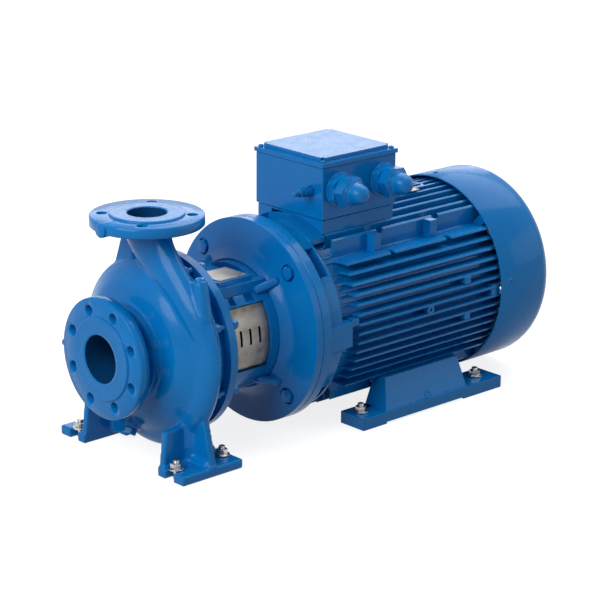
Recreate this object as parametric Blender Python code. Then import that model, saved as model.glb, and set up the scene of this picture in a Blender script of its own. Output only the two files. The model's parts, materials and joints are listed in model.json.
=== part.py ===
"""Close-coupled end-suction pump with a flanged, footed motor.

The pump stands on the floor at z = 0. Stations along the shaft are measured from the
suction face, and one empty moves the whole set so that the origin is under its middle.
"""

import math

import bmesh
import bpy
from mathutils import Matrix, Vector

# Overall pump sizes
SHAFT_HEIGHT = 0.180
SUCTION_TO_DISCHARGE = 0.100
SHAFT_TO_DISCHARGE = 0.225
GAP = 0.0003

# Suction flange
SUCTION_BORE = 0.080
SUCTION_FLANGE_DIAMETER = 0.200
SUCTION_FLANGE_THICKNESS = 0.022
SUCTION_FACE_DIAMETER = 0.138
SUCTION_BOLT_CIRCLE = 0.160
SUCTION_HOLES = 8

# Discharge flange
DISCHARGE_BORE = 0.065
DISCHARGE_FLANGE_DIAMETER = 0.185
DISCHARGE_FLANGE_THICKNESS = 0.020
DISCHARGE_FACE_DIAMETER = 0.122
DISCHARGE_BOLT_CIRCLE = 0.145
DISCHARGE_HOLES = 4

FLANGE_FACE_RAISE = 0.003
FLANGE_HOLE = 0.018

# Casing
CASING_DEPTH = 0.126
CASING_WALL = 0.009
SCROLL_START_RADIUS = 0.147
SCROLL_END_RADIUS = 0.170
SCROLL_HALF_WIDTH = 0.021
SCROLL_BASE_RADIUS = 0.130
SCROLL_OFFSET = 0.003
CASING_RIM_RADIUS = 0.1515
CASING_RIM_LENGTH = 0.009
CASING_MOUTH_RADIUS = 0.1195
CASING_SIDES = 36
NECK_WALL = 0.0105
NECK_ROUND_SHARE = 0.30
NECK_TOP_BEND = 0.075
NECK_LOWER_BEND = 0.092
NECK_END_DEPTH = 0.030

# The casing's walls, as shares of its depth and of the scroll's base radius
FRONT_WALL_SHARES = (
    (0.397, 0.577),
    (0.425, 0.577),
    (0.429, 0.631),
    (0.460, 0.662),
    (0.516, 0.862),
    (0.643, 1.046),
    (0.671, 1.074),
)
INNER_WALL_SHARES = ((0.635, 0.862), (0.540, 0.654), (0.492, 0.400))

# Bosses and nubs of the casing
VENT_BOSS_X = 0.110
VENT_BOSS_Y = -0.1175
VENT_BOSS_TOP = 0.1350
VENT_BOSS_LENGTH = 0.060
VENT_BOSS_RADIUS = 0.012
VENT_PLUG_RADIUS = 0.0085
VENT_PLUG_HEIGHT = 0.004
DRAIN_BOSS_X = 0.088
DRAIN_BOSS_Y = 0.0085
DRAIN_BOSS_DROP = 0.098
DRAIN_BOSS_RUN = (-0.020, 0.0, -0.036)
DRAIN_BOSS_RADIUS = 0.015
DRAIN_PLUG_RADIUS = 0.0095
DRAIN_PLUG_HEIGHT = 0.009
GAUGE_NUB_RADIUS = 0.007
GAUGE_NUB_REACH = 0.009
FLANGE_LUG_RADIUS = 0.0115
FLANGE_LUG_REACH = 0.004

# Casing bolts, which also hold the lantern
CASING_BOLTS = 8
CASING_BOLT_CIRCLE = 0.285
CASING_BOLT_DIAMETER = 0.010
CASING_BOLT_DEPTH = 0.014
CASING_NUT_RADIUS = 0.0085
CASING_NUT_HEIGHT = 0.0085
CASING_STUD_END = 0.012

# Casing cover, impeller and shaft
COVER_RADIUS = 0.1345
COVER_SPIGOT_DEPTH = 0.008
COVER_THICKNESS = 0.020
COVER_HUB_RADIUS = 0.080
COVER_HUB_DEPTH = 0.030
SEAL_WALL = 0.016
IMPELLER_RADIUS = 0.104
IMPELLER_DEPTH = 0.044
IMPELLER_CLEARANCE = 0.004
IMPELLER_PLATE = 0.006
IMPELLER_HUB_WALL = 0.007
IMPELLER_VANES = 6
VANE_THICKNESS = 0.0044
SHAFT_DIAMETER = 0.032

# Pump feet
PUMP_FOOT_LENGTH = 0.125
PUMP_FOOT_OUTER_Y = 0.160
PUMP_FOOT_WIDTH = 0.065
PUMP_FOOT_THICKNESS = 0.016
PUMP_FOOT_BOLT_SPACING = 0.095
PUMP_FOOT_BOLT_Y = 0.1245
PUMP_FOOT_SLOT = 0.019
PUMP_FOOT_WEB = 0.012
PUMP_FOOT_WEB_DROP = 0.085

# Lantern
LANTERN_LENGTH = 0.178
LANTERN_RING_RADIUS = 0.150
LANTERN_RING_THICKNESS = 0.016
LANTERN_BODY_RADIUS = 0.106
LANTERN_WALL = 0.012
LANTERN_FLANGE_THICKNESS = 0.015
FLARE_LENGTH = 0.030
WINDOW_START = 0.032
WINDOW_LENGTH = 0.093
WINDOW_TOP = 0.0625
WINDOW_BOTTOM = 0.0465
DECK_HALF_WIDTH = 0.0735
DECK_TOP = 0.0944
DECK_THICKNESS = 0.0165
DECK_LENGTH = 0.125
RIB_TURN = 47.0
RIB_RADIUS = 0.0075

# Window guards and the bare plate on the lantern
GUARD_INSET = 0.004
GUARD_THICKNESS = 0.0015
GUARD_SLOTS = 3
GUARD_SLOT_FIRST = 0.030
GUARD_SLOT_PITCH = 0.0199
GUARD_SLOT_WIDTH = 0.0045
GUARD_SLOT_TOP = 0.0255
GUARD_SLOT_LENGTH = 0.0265
PLATE_PAD_START = 0.045
PLATE_PAD_LENGTH = 0.0726
PLATE_PAD_HALF_WIDTH = 0.0671
PLATE_PAD_RISE = 0.009
PLATE_MARGIN = 0.006
PLATE_THICKNESS = 0.001

# Motor
MOTOR_FLANGE_DIAMETER = 0.350
MOTOR_FLANGE_BOLT_CIRCLE = 0.300
MOTOR_FLANGE_BOLT = 0.016
MOTOR_FLANGE_BOLTS = 4
BOLT_RECESS_RADIUS = 0.0145
BOLT_RECESS_DEPTH = 0.004
BOLT_HEAD_RADIUS = 0.0130
BOLT_HEAD_HEIGHT = 0.010
MOTOR_FLANGE_THICKNESS = 0.020
ENDSHIELD_LENGTH = 0.061
ENDSHIELD_DRUM_RADIUS = 0.165
POCKET_TURNS = (45.0, 135.0, 225.0, 315.0)
POCKET_LENGTH = 0.0155
POCKET_HALF_WIDTH = 0.028
POCKET_DEPTH = 0.012
LUG_OUTER_Y = 0.1712
LUG_LENGTH = 0.048
LUG_TOP = 0.020
LUG_BOTTOM = -0.030

# Finned frame
FRAME_LENGTH = 0.380
FRAME_CORE_RADIUS = 0.148
FRAME_NECK_LENGTH = 0.023
FIN_TIP_RADIUS = 0.167
CORNER_FIN_RADIUS = 0.1705
FIN_PITCH = 0.0163
FIN_THICKNESS = 0.004
SIDE_FINS = 14
TOP_FINS = 13
CORNER_POST_STATIONS = (0.1675, 0.3014)
CORNER_POST_LENGTH = 0.0165
CORNER_POST_OUTER_Y = 0.117
CORNER_POST_TOP = 0.1385
NOTCH_FROM_POST = 0.0295
FIN_NOTCH_RADIUS = 0.008
LEDGE_NOTCH_LENGTH = 0.0115
LEDGE_NOTCH_DEPTH = 0.012
EYE_BOSS_STATION = 0.196
EYE_BOSS_RADIUS = 0.008
FOOT_PAD_STATIONS = (0.1677, 0.3004)
FOOT_PAD_LENGTH = 0.0485

# Small cast blocks across the side fins: station, length, height over the shaft, depth
SIDE_BLOCKS = (
    (0.0105, 0.016, 0.0150, 0.012),
    (0.2805, 0.0132, 0.0340, 0.012),
    (0.2805, 0.0132, -0.0300, 0.012),
    (0.3472, 0.0205, 0.0015, 0.023),
)

# Motor cowl and fan
COWL_LENGTH = 0.136
COWL_RADIUS = 0.174
COWL_OVERLAP = 0.015
COWL_SHEET = 0.0025
COWL_CORNER_RADIUS = 0.032
COWL_LUGS = 4
COWL_SIDES = 36
LARGE_SIDES = 36
GRILLE_SLOTS = 12
GRILLE_SLOT_WIDTH = 0.009
GRILLE_ROWS = ((0.26, 0.49), (0.53, 0.75))
REAR_ENDSHIELD_THICKNESS = 0.018
REAR_HUB_RADIUS = 0.045
REAR_HUB_LENGTH = 0.012
FAN_RADIUS = 0.135
FAN_BLADES = 8
FAN_BLADE_THICKNESS = 0.003
FAN_FROM_ENDSHIELD = 0.018
FAN_SHAFT_FROM_END = 0.030

# Motor feet
MOTOR_FOOT_FROM_FLANGE = 0.0989
MOTOR_FOOT_LENGTH = 0.3373
MOTOR_FOOT_OUTER_Y = 0.1694
MOTOR_FOOT_WIDTH = 0.0565
MOTOR_FOOT_THICKNESS = 0.0214
MOTOR_FOOT_BOLT_SPACING = 0.279
MOTOR_FOOT_BOLT_Y = 0.1395
MOTOR_FOOT_BOLT_OFFSET = 0.008
MOTOR_FOOT_PAD_FRONT = 0.055
MOTOR_FOOT_PAD_REAR = 0.095
MOTOR_FOOT_RECESS = 0.003
PEDESTAL_FROM_FOOT = 0.057
PEDESTAL_LENGTH = 0.196
PEDESTAL_FRONT_SLOPE = 0.42
PEDESTAL_DROP = 0.110
PEDESTAL_LEDGE = 0.014

# Terminal box, with heights above the shaft and above each other
BOX_FROM_FLANGE = 0.080
BOX_LENGTH = 0.170
BOX_HALF_WIDTH = 0.083
RISER_BOTTOM = 0.126
RISER_INSET = 0.003
RISER_POCKET_LOW_Y = -0.012
RISER_POCKET_HIGH_Y = 0.046
RISER_POCKET_DEPTH = 0.020
BOX_SEAM = 0.170
BOX_DEPTH = 0.0905
BOX_WALL = 0.005
LID_OVERHANG = 0.002
LID_RIM = 0.0077
LID_PANEL_RISE = 0.007
LID_PANEL_INSET = 0.007
LID_CORNER_NOTCH = 0.013
GLAND_OFFSET = 0.00275
GLAND_SPACING = 0.1015
GLAND_HEIGHT = 0.050
GLAND_WASHER_RADIUS = 0.030
GLAND_WASHER_THICKNESS = 0.002
GLAND_HEX_RADIUS = 0.028
GLAND_HEX_REACH = 0.017
GLAND_NUT_RADIUS = 0.0245
GLAND_NUT_REACH = 0.035
GLAND_DOME_RADIUS = 0.0165
GLAND_REACH = 0.0705
EARTH_STUD_Y = -0.055
EARTH_STUD_HEIGHT = 0.048
EARTH_STUD_DIAMETER = 0.008
EARTH_STUD_LENGTH = 0.040
EARTH_NUT_RADIUS = 0.0088

# Foot bolts
FOOT_BOLT_DIAMETER = 0.011
FOOT_HOLE_DIAMETER = 0.014
WASHER_DIAMETER = 0.026
WASHER_THICKNESS = 0.0025
HEX_ACROSS = 0.018
HEX_HEIGHT = 0.008
FOOT_BOLT_RISE = 0.0005

# Stations along the shaft
LANTERN_FRONT = CASING_DEPTH + COVER_THICKNESS
MOTOR_FACE = LANTERN_FRONT + LANTERN_LENGTH
FRAME_FRONT = MOTOR_FACE + ENDSHIELD_LENGTH
FRAME_REAR = FRAME_FRONT + FRAME_LENGTH
COWL_FRONT = FRAME_REAR - COWL_OVERLAP
OVERALL_LENGTH = COWL_FRONT + COWL_LENGTH

# Heights over the ground
DISCHARGE_FACE = SHAFT_HEIGHT + SHAFT_TO_DISCHARGE
PEDESTAL_TOP = SHAFT_HEIGHT - PEDESTAL_DROP
BOX_BOTTOM = SHAFT_HEIGHT + BOX_SEAM
BOX_TOP = BOX_BOTTOM + BOX_DEPTH

# The casing's lofted walls meet in too many slivers for the exact solver
CASTING_SOLVER = "MANIFOLD"
SLIVER = 0.0002

BLUE_PAINT = ("blue_paint", (0.02, 0.16, 0.47), 0.35, 0.0)
MOTOR_PAINT = ("motor_paint", (0.02, 0.15, 0.44), 0.35, 0.0)
ZINC = ("zinc", (0.72, 0.72, 0.70), 0.3, 1.0)
STAINLESS = ("stainless", (0.62, 0.61, 0.59), 0.3, 1.0)
CAST_IRON = ("cast_iron", (0.16, 0.16, 0.17), 0.6, 0.6)
STEEL = ("steel", (0.5, 0.5, 0.52), 0.35, 1.0)
PLASTIC = ("fan_plastic", (0.03, 0.03, 0.035), 0.5, 0.0)
PLATE = ("nameplate", (0.68, 0.68, 0.66), 0.35, 0.8)


def clear_scene():
    """Remove whatever the scene holds."""
    for item in list(bpy.data.objects):
        bpy.data.objects.remove(item, do_unlink=True)


def material(recipe):
    """Return the named Principled material, made once."""
    name, colour, roughness, metallic = recipe
    made = bpy.data.materials.get(name)
    if made is None:
        made = bpy.data.materials.new(name)
        made.use_nodes = True
        shader = made.node_tree.nodes["Principled BSDF"]
        shader.inputs["Base Color"].default_value = (*colour, 1.0)
        shader.inputs["Roughness"].default_value = roughness
        shader.inputs["Metallic"].default_value = metallic
    return made


def to_object(shape, name="piece"):
    """Turn a bmesh into an object of the scene."""
    bmesh.ops.remove_doubles(shape, verts=shape.verts, dist=1e-6)
    bmesh.ops.recalc_face_normals(shape, faces=shape.faces)
    mesh = bpy.data.meshes.new(name)
    shape.to_mesh(mesh)
    shape.free()
    made = bpy.data.objects.new(name, mesh)
    bpy.context.scene.collection.objects.link(made)
    return made


def finish(made, name, recipe, root, sharp_degrees=32):
    """Name a finished piece, give it its material and hang it on the root."""
    made.name = name
    made.data.name = name
    made.data.materials.clear()
    made.data.materials.append(material(recipe))
    made.data.shade_smooth()
    made.data.set_sharp_from_angle(angle=math.radians(sharp_degrees))
    made.parent = root
    return made


def boolean(target, tool, operation, solver="EXACT"):
    """Apply a union or a cut and remove the tool."""
    modifier = target.modifiers.new(operation.lower(), "BOOLEAN")
    modifier.operation = operation
    modifier.solver = solver
    modifier.object = tool
    graph = bpy.context.evaluated_depsgraph_get()
    mesh = bpy.data.meshes.new_from_object(target.evaluated_get(graph))
    target.modifiers.clear()
    target.data = mesh
    bpy.data.objects.remove(tool, do_unlink=True)
    return target


def join(target, *tools, solver="EXACT"):
    """Union each tool to the target."""
    for tool in tools:
        boolean(target, tool, "UNION", solver)
    return target


def cut(target, *tools, solver="EXACT"):
    """Cut each tool out of the target."""
    for tool in tools:
        boolean(target, tool, "DIFFERENCE", solver)
    return target


def drop_slivers(made):
    """Merge near corners, and delete the tiny loose shells that a Boolean can leave."""
    shape = bmesh.new()
    shape.from_mesh(made.data)
    bmesh.ops.triangulate(shape, faces=shape.faces)
    bmesh.ops.remove_doubles(shape, verts=shape.verts, dist=SLIVER)
    bmesh.ops.dissolve_degenerate(shape, edges=shape.edges, dist=SLIVER / 2)
    waiting = set(shape.faces)
    shells = []
    while waiting:
        shell = [waiting.pop()]
        for face in shell:
            near = {other for edge in face.edges for other in edge.link_faces} & waiting
            waiting -= near
            shell.extend(near)
        shells.append(shell)
    shells.sort(key=len)
    slivers = [face for shell in shells[:-1] for face in shell]
    bmesh.ops.delete(shape, geom=slivers, context="FACES")
    shape.to_mesh(made.data)
    shape.free()
    return made


def group(pieces):
    """Put pieces that don't touch each other into one tool."""
    shape = bmesh.new()
    for piece in pieces:
        shape.from_mesh(piece.data)
        bpy.data.objects.remove(piece, do_unlink=True)
    return to_object(shape)


def shaft_point(x, radius, turn):
    """A point at a radius from the shaft, turned from straight up towards +Y."""
    return Vector((x, radius * math.sin(turn), SHAFT_HEIGHT + radius * math.cos(turn)))


def shaft_turn(turn):
    """Matrix that turns what stands over the shaft's line at z = 0 to an angle round it."""
    return Matrix.Translation((0.0, 0.0, SHAFT_HEIGHT)) @ Matrix.Rotation(-turn, 4, "X")


def spin_profile(points, origin, axis, steps):
    """Turn a closed outline of points about an axis."""
    shape = bmesh.new()
    corners = [shape.verts.new(point) for point in points]
    edges = [shape.edges.new((a, b)) for a, b in zip(corners, corners[1:] + corners[:1])]
    bmesh.ops.spin(
        shape, geom=corners + edges, cent=origin, axis=axis, angle=math.tau, steps=steps,
        use_merge=True,
    )
    bmesh.ops.remove_doubles(shape, verts=shape.verts, dist=1e-6)
    bmesh.ops.dissolve_degenerate(shape, edges=shape.edges, dist=1e-6)
    loose = [edge for edge in shape.edges if not edge.link_faces]
    bmesh.ops.delete(shape, geom=loose, context="EDGES")
    return to_object(shape)


def shaft_lathe(profile, steps=48):
    """Turn a closed (station, radius) profile about the shaft."""
    points = [shaft_point(x, radius, 0.0) for x, radius in profile]
    return spin_profile(points, (0.0, 0.0, SHAFT_HEIGHT), (1.0, 0.0, 0.0), steps)


def upright_lathe(x, y, profile, steps=32):
    """Turn a closed (height, radius) profile about an upright axis."""
    points = [Vector((x + radius, y, height)) for height, radius in profile]
    return spin_profile(points, (x, y, 0.0), (0.0, 0.0, 1.0), steps)


def side_lathe(x, z, profile, steps=24):
    """Turn a closed (y, radius) profile about an axis that runs along Y."""
    points = [Vector((x, y, z + radius)) for y, radius in profile]
    return spin_profile(points, (x, 0.0, z), (0.0, 1.0, 0.0), steps)


def rod(start, end, radius, end_radius=None, sides=24, turn=0.0):
    """A round or many-sided bar, straight or tapered, between two points."""
    start = Vector(start)
    end = Vector(end)
    along = end - start
    shape = bmesh.new()
    place = Matrix.Translation((start + end) / 2)
    aim = along.to_track_quat("Z", "Y").to_matrix().to_4x4()
    bmesh.ops.create_cone(
        shape, cap_ends=True, segments=sides, radius1=radius,
        radius2=radius if end_radius is None else end_radius,
        depth=along.length, matrix=place @ aim @ Matrix.Rotation(turn, 4, "Z"),
    )
    return to_object(shape)


def box(low, high):
    """An upright block between two corners."""
    low = Vector(low)
    high = Vector(high)
    size = high - low
    shape = bmesh.new()
    place = Matrix.Translation((low + high) / 2) @ Matrix.Diagonal((*size, 1.0))
    bmesh.ops.create_cube(shape, size=1.0, matrix=place)
    return to_object(shape)


def extrude_outline(points, travel):
    """Extrude a closed outline of points by a vector."""
    shape = bmesh.new()
    face = shape.faces.new([shape.verts.new(point) for point in points])
    made = bmesh.ops.extrude_face_region(shape, geom=[face])
    moved = [item for item in made["geom"] if isinstance(item, bmesh.types.BMVert)]
    bmesh.ops.translate(shape, verts=moved, vec=travel)
    return to_object(shape)


def cross_prism(outline, start, length):
    """Extrude a (y, z) outline along the shaft's direction."""
    points = [Vector((start, y, z)) for y, z in outline]
    return extrude_outline(points, (length, 0.0, 0.0))


def side_prism(outline, start, length):
    """Extrude an (x, z) outline along Y."""
    points = [Vector((x, start, z)) for x, z in outline]
    return extrude_outline(points, (0.0, length, 0.0))


def loft(rings, closed):
    """Skin rings of equally many points, as a ring of rings or with capped ends."""
    shape = bmesh.new()
    rows = [[shape.verts.new(point) for point in ring] for ring in rings]
    following = rows[1:] + rows[:1] if closed else rows[1:]
    for row, after in zip(rows, following):
        for index in range(len(row)):
            later = (index + 1) % len(row)
            shape.faces.new((row[index], row[later], after[later], after[index]))
    if not closed:
        shape.faces.new(rows[0])
        shape.faces.new(list(reversed(rows[-1])))
    return to_object(shape)


def bolt_turns(count, first):
    """Angles of equally spaced bolts."""
    return [first + math.tau * index / count for index in range(count)]


def scroll_radius(turn):
    """Outer radius of the scroll, growing from the top over +Y and the bottom to -Y."""
    share = (turn / math.tau) % 1.0
    growth = SCROLL_END_RADIUS - SCROLL_START_RADIUS
    if share <= 0.75:
        return SCROLL_START_RADIUS + growth * share / 0.75
    ease = (1.0 + math.cos((share - 0.75) / 0.25 * math.pi)) / 2
    return SCROLL_START_RADIUS + growth * ease


def casing_section(turn):
    """Closed (station, radius) outline of the casing wall at one angle."""
    bore = SUCTION_BORE / 2
    pipe = bore + CASING_WALL * 1.45
    flange_back = SUCTION_FLANGE_THICKNESS
    middle = SUCTION_TO_DISCHARGE + SCROLL_OFFSET
    base = SCROLL_BASE_RADIUS
    height = scroll_radius(turn) - base
    first_share = FRONT_WALL_SHARES[0][0]
    outline = [
        (0.0, bore),
        (0.0, SUCTION_FACE_DIAMETER / 2),
        (FLANGE_FACE_RAISE, SUCTION_FACE_DIAMETER / 2),
        (FLANGE_FACE_RAISE, SUCTION_FLANGE_DIAMETER / 2),
        (flange_back, SUCTION_FLANGE_DIAMETER / 2),
        (flange_back, pipe + CASING_WALL * 0.9),
        (flange_back + CASING_WALL * 0.9, pipe),
        (CASING_DEPTH * (first_share - 0.024), pipe * 1.075),
    ]
    outline += [(CASING_DEPTH * share, base * reach) for share, reach in FRONT_WALL_SHARES]
    for degrees in range(26, 131, 26):
        swing = math.radians(degrees)
        x = middle - SCROLL_HALF_WIDTH * math.cos(swing)
        outline.append((x, base + height * math.sin(swing)))
    outline += [
        (CASING_DEPTH - CASING_RIM_LENGTH, CASING_RIM_RADIUS),
        (CASING_DEPTH, CASING_RIM_RADIUS),
        (CASING_DEPTH, CASING_MOUTH_RADIUS),
    ]
    inner_width = SCROLL_HALF_WIDTH - CASING_WALL
    inner_base = CASING_MOUTH_RADIUS
    inner_height = scroll_radius(turn) - CASING_WALL - inner_base
    for degrees in range(0, 181, 45):
        swing = math.radians(degrees)
        x = middle + inner_width * math.cos(swing)
        outline.append((x, inner_base + inner_height * math.sin(swing)))
    outline += [(CASING_DEPTH * share, base * reach) for share, reach in INNER_WALL_SHARES]
    outline.append((CASING_DEPTH * INNER_WALL_SHARES[-1][0] - SLIVER * 10, bore))
    return outline


def neck_path(share):
    """Centre of the discharge neck at x = SUCTION_TO_DISCHARGE, from the flange down."""
    top = Vector((0.0, DISCHARGE_FACE - DISCHARGE_FLANGE_THICKNESS * 0.6))
    bottom = Vector((-(SCROLL_END_RADIUS - NECK_END_DEPTH), SHAFT_HEIGHT))
    upper = top - Vector((0.0, NECK_TOP_BEND))
    lower = bottom + Vector((0.0, NECK_LOWER_BEND))
    rest = 1.0 - share
    return (
        top * rest**3 + upper * 3 * rest**2 * share
        + lower * 3 * rest * share**2 + bottom * share**3
    )


def neck_ring(share, trim, sides):
    """One oval ring of the neck, square to its path, smaller by the trim."""
    step = 0.01
    centre = neck_path(share)
    ahead = (neck_path(share + step) - neck_path(share - step)).normalized()
    across = Vector((-ahead.y, ahead.x))
    top_radius = DISCHARGE_BORE / 2 + NECK_WALL
    flat = SCROLL_HALF_WIDTH + SCROLL_OFFSET
    narrowing = max(0.0, 1.0 - share / NECK_ROUND_SHARE)
    half_width = flat + (top_radius - flat) * narrowing**1.5 - trim
    half_depth = top_radius + (NECK_END_DEPTH - top_radius) * share - trim
    ring = []
    for index in range(sides):
        swing = math.tau * index / sides
        offset = across * half_depth * math.sin(swing)
        x = SUCTION_TO_DISCHARGE + half_width * math.cos(swing)
        ring.append(Vector((x, centre.x + offset.x, centre.y + offset.y)))
    return ring


def neck(trim, sides, last):
    """The swept body of the neck, or of its bore."""
    steps = 10
    rings = [neck_ring(last * index / steps, trim, sides) for index in range(steps + 1)]
    return loft(rings, closed=False)


def pump_foot(side):
    """One casing foot: plate with two webs up to the casing."""
    outer = side * PUMP_FOOT_OUTER_Y
    inner = side * (PUMP_FOOT_OUTER_Y - PUMP_FOOT_WIDTH)
    start = SUCTION_TO_DISCHARGE - PUMP_FOOT_LENGTH / 2
    end = start + PUMP_FOOT_LENGTH
    low_y, high_y = sorted((outer, inner))
    plate = box((start, low_y, 0.0), (end, high_y, PUMP_FOOT_THICKNESS))
    web = PUMP_FOOT_WEB
    web_top = SHAFT_HEIGHT - PUMP_FOOT_WEB_DROP
    rib_low, rib_high = sorted((inner, inner + side * web))
    root = PUMP_FOOT_THICKNESS / 2
    rear = CASING_DEPTH - web
    lengthwise = side_prism(
        [
            (start + web * 0.6, root),
            (end - web * 0.3, root),
            (end - web * 1.3, PUMP_FOOT_THICKNESS + web),
            (rear, web_top - 3.3 * web),
            (rear, web_top),
            (start + web * 1.2, web_top + web * 0.4),
        ],
        rib_low,
        rib_high - rib_low,
    )
    reach = PUMP_FOOT_OUTER_Y - PUMP_FOOT_WIDTH
    crosswise = cross_prism(
        [
            (side * (reach - 3 * web), root),
            (outer, root),
            (outer * 0.99, PUMP_FOOT_THICKNESS),
            (side * (reach + 3.7 * web), web_top),
            (side * (reach + 2 * web), web_top + 1.25 * web),
            (side * (reach - 3 * web), web_top - 3 * web),
        ],
        SUCTION_TO_DISCHARGE - web / 3,
        web,
    )
    return join(plate, lengthwise, crosswise)


def pump_foot_bolt_places():
    """Centres of the four pump foot bolts."""
    half = PUMP_FOOT_BOLT_SPACING / 2
    middle = SUCTION_TO_DISCHARGE
    return [(middle + x, side * PUMP_FOOT_BOLT_Y) for side in (-1, 1) for x in (-half, half)]


def discharge_flange():
    """The discharge flange with its raised face and a small fillet step under it."""
    top = DISCHARGE_FACE
    under = top - DISCHARGE_FLANGE_THICKNESS
    neck_radius = DISCHARGE_BORE / 2 + NECK_WALL
    fillet = NECK_WALL * 0.57
    return upright_lathe(
        SUCTION_TO_DISCHARGE,
        0.0,
        [
            (top, 0.0),
            (top, DISCHARGE_FACE_DIAMETER / 2),
            (top - FLANGE_FACE_RAISE, DISCHARGE_FACE_DIAMETER / 2),
            (top - FLANGE_FACE_RAISE, DISCHARGE_FLANGE_DIAMETER / 2),
            (under, DISCHARGE_FLANGE_DIAMETER / 2),
            (under, neck_radius + fillet),
            (under - fillet, neck_radius - NECK_WALL / 10),
            (under - fillet, 0.0),
        ],
        steps=40,
    )


def casing_bosses():
    """The neck's rib, the vent and drain bosses and the two nubs on the flange rims."""
    under = DISCHARGE_FACE - DISCHARGE_FLANGE_THICKNESS
    wall = CASING_WALL
    rib = cross_prism(
        [
            (2.2 * wall, under - NECK_END_DEPTH),
            (2.2 * wall, under + wall / 2),
            (5.5 * wall, under + wall / 2),
            (9.3 * wall, SHAFT_HEIGHT + SCROLL_BASE_RADIUS * 0.89),
            (6.7 * wall, SHAFT_HEIGHT + SCROLL_BASE_RADIUS * 0.77),
        ],
        SUCTION_TO_DISCHARGE - wall / 2,
        wall * 1.1,
    )
    vent_top, vent_bottom = vent_boss_ends()
    vent = rod(vent_bottom, vent_top, VENT_BOSS_RADIUS * 1.25, VENT_BOSS_RADIUS, sides=16)
    drain_start, drain_end = drain_boss_ends()
    drain = rod(drain_start, drain_end, DRAIN_BOSS_RADIUS, DRAIN_BOSS_RADIUS * 0.87, sides=16)
    lug_z = under + DISCHARGE_FLANGE_THICKNESS * 0.3
    lug_x = SUCTION_TO_DISCHARGE - DISCHARGE_FLANGE_DIAMETER / 2
    lug = rod(
        (lug_x - FLANGE_LUG_REACH, 0.0, lug_z), (lug_x + NECK_END_DEPTH, 0.0, lug_z),
        FLANGE_LUG_RADIUS, sides=14,
    )
    nub_x = (SUCTION_FLANGE_THICKNESS + FLANGE_FACE_RAISE) / 2
    rim = SUCTION_FLANGE_DIAMETER / 2
    nub = rod(
        (nub_x, rim - GAUGE_NUB_RADIUS, SHAFT_HEIGHT), (nub_x, rim + GAUGE_NUB_REACH, SHAFT_HEIGHT),
        GAUGE_NUB_RADIUS, sides=12,
    )
    return rib, vent, drain, lug, nub


def vent_boss_ends():
    """Top and bottom centres of the vent boss on the neck's shoulder."""
    top = Vector((VENT_BOSS_X, VENT_BOSS_Y, SHAFT_HEIGHT + VENT_BOSS_TOP))
    return top, top - Vector((0.0, VENT_BOSS_LENGTH / 10, VENT_BOSS_LENGTH))


def drain_boss_ends():
    """Root and face centres of the drain boss, which points down and forwards."""
    start = Vector((DRAIN_BOSS_X, DRAIN_BOSS_Y, SHAFT_HEIGHT - DRAIN_BOSS_DROP))
    return start, start + Vector(DRAIN_BOSS_RUN)


def casing_chamber():
    """The impeller's room, cut once more so that no boss or neck wall stands in it."""
    mouth = CASING_MOUTH_RADIUS - GAP / 2
    back = CASING_DEPTH + CASING_RIM_LENGTH
    front = CASING_DEPTH * INNER_WALL_SHARES[-1][0] - SLIVER * 9.5
    profile = [(front, 0.0), (front, SUCTION_BORE / 2)]
    for share, reach in reversed(INNER_WALL_SHARES):
        profile.append((CASING_DEPTH * share + SLIVER / 2, SCROLL_BASE_RADIUS * reach))
    inner_front = SUCTION_TO_DISCHARGE + SCROLL_OFFSET - SCROLL_HALF_WIDTH + CASING_WALL
    profile.append((inner_front + SLIVER * 5, mouth))
    profile += [(back, mouth), (back, 0.0)]
    return shaft_lathe(profile, steps=CASING_SIDES)


def casing_holes():
    """Every bolt hole of the casing as one tool."""
    top = DISCHARGE_FACE
    under = top - DISCHARGE_FLANGE_THICKNESS
    over = CASING_WALL
    holes = []
    for turn in bolt_turns(SUCTION_HOLES, math.pi / SUCTION_HOLES):
        start = shaft_point(-over, SUCTION_BOLT_CIRCLE / 2, turn)
        end = shaft_point(SUCTION_FLANGE_THICKNESS + over, SUCTION_BOLT_CIRCLE / 2, turn)
        holes.append(rod(start, end, FLANGE_HOLE / 2, sides=12))
    for turn in bolt_turns(DISCHARGE_HOLES, math.pi / DISCHARGE_HOLES):
        x = SUCTION_TO_DISCHARGE + DISCHARGE_BOLT_CIRCLE / 2 * math.cos(turn)
        y = DISCHARGE_BOLT_CIRCLE / 2 * math.sin(turn)
        holes.append(rod((x, y, top + over), (x, y, under - over), FLANGE_HOLE / 2, sides=12))
    for turn in bolt_turns(CASING_BOLTS, math.pi / CASING_BOLTS):
        start = shaft_point(CASING_DEPTH - CASING_BOLT_DEPTH, CASING_BOLT_CIRCLE / 2, turn)
        end = shaft_point(CASING_DEPTH + over, CASING_BOLT_CIRCLE / 2, turn)
        holes.append(rod(start, end, CASING_BOLT_DIAMETER / 2 + GAP, sides=8))
    for x, y in pump_foot_bolt_places():
        width = PUMP_FOOT_SLOT if x < SUCTION_TO_DISCHARGE else FOOT_HOLE_DIAMETER
        holes.append(rod((x, y, -over), (x, y, PUMP_FOOT_THICKNESS * 2), width / 2, sides=12))
    return group(holes)


def foot_slots():
    """Open front slots of the two pump feet."""
    front = SUCTION_TO_DISCHARGE - PUMP_FOOT_LENGTH / 2
    slot_end = SUCTION_TO_DISCHARGE - PUMP_FOOT_BOLT_SPACING / 2
    slots = []
    for side in (-1, 1):
        low_y = side * PUMP_FOOT_BOLT_Y - PUMP_FOOT_SLOT / 2
        slots.append(
            box(
                (front - CASING_WALL, low_y, -CASING_WALL),
                (slot_end, low_y + PUMP_FOOT_SLOT, PUMP_FOOT_THICKNESS + CASING_WALL),
            )
        )
    return group(slots)


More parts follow.
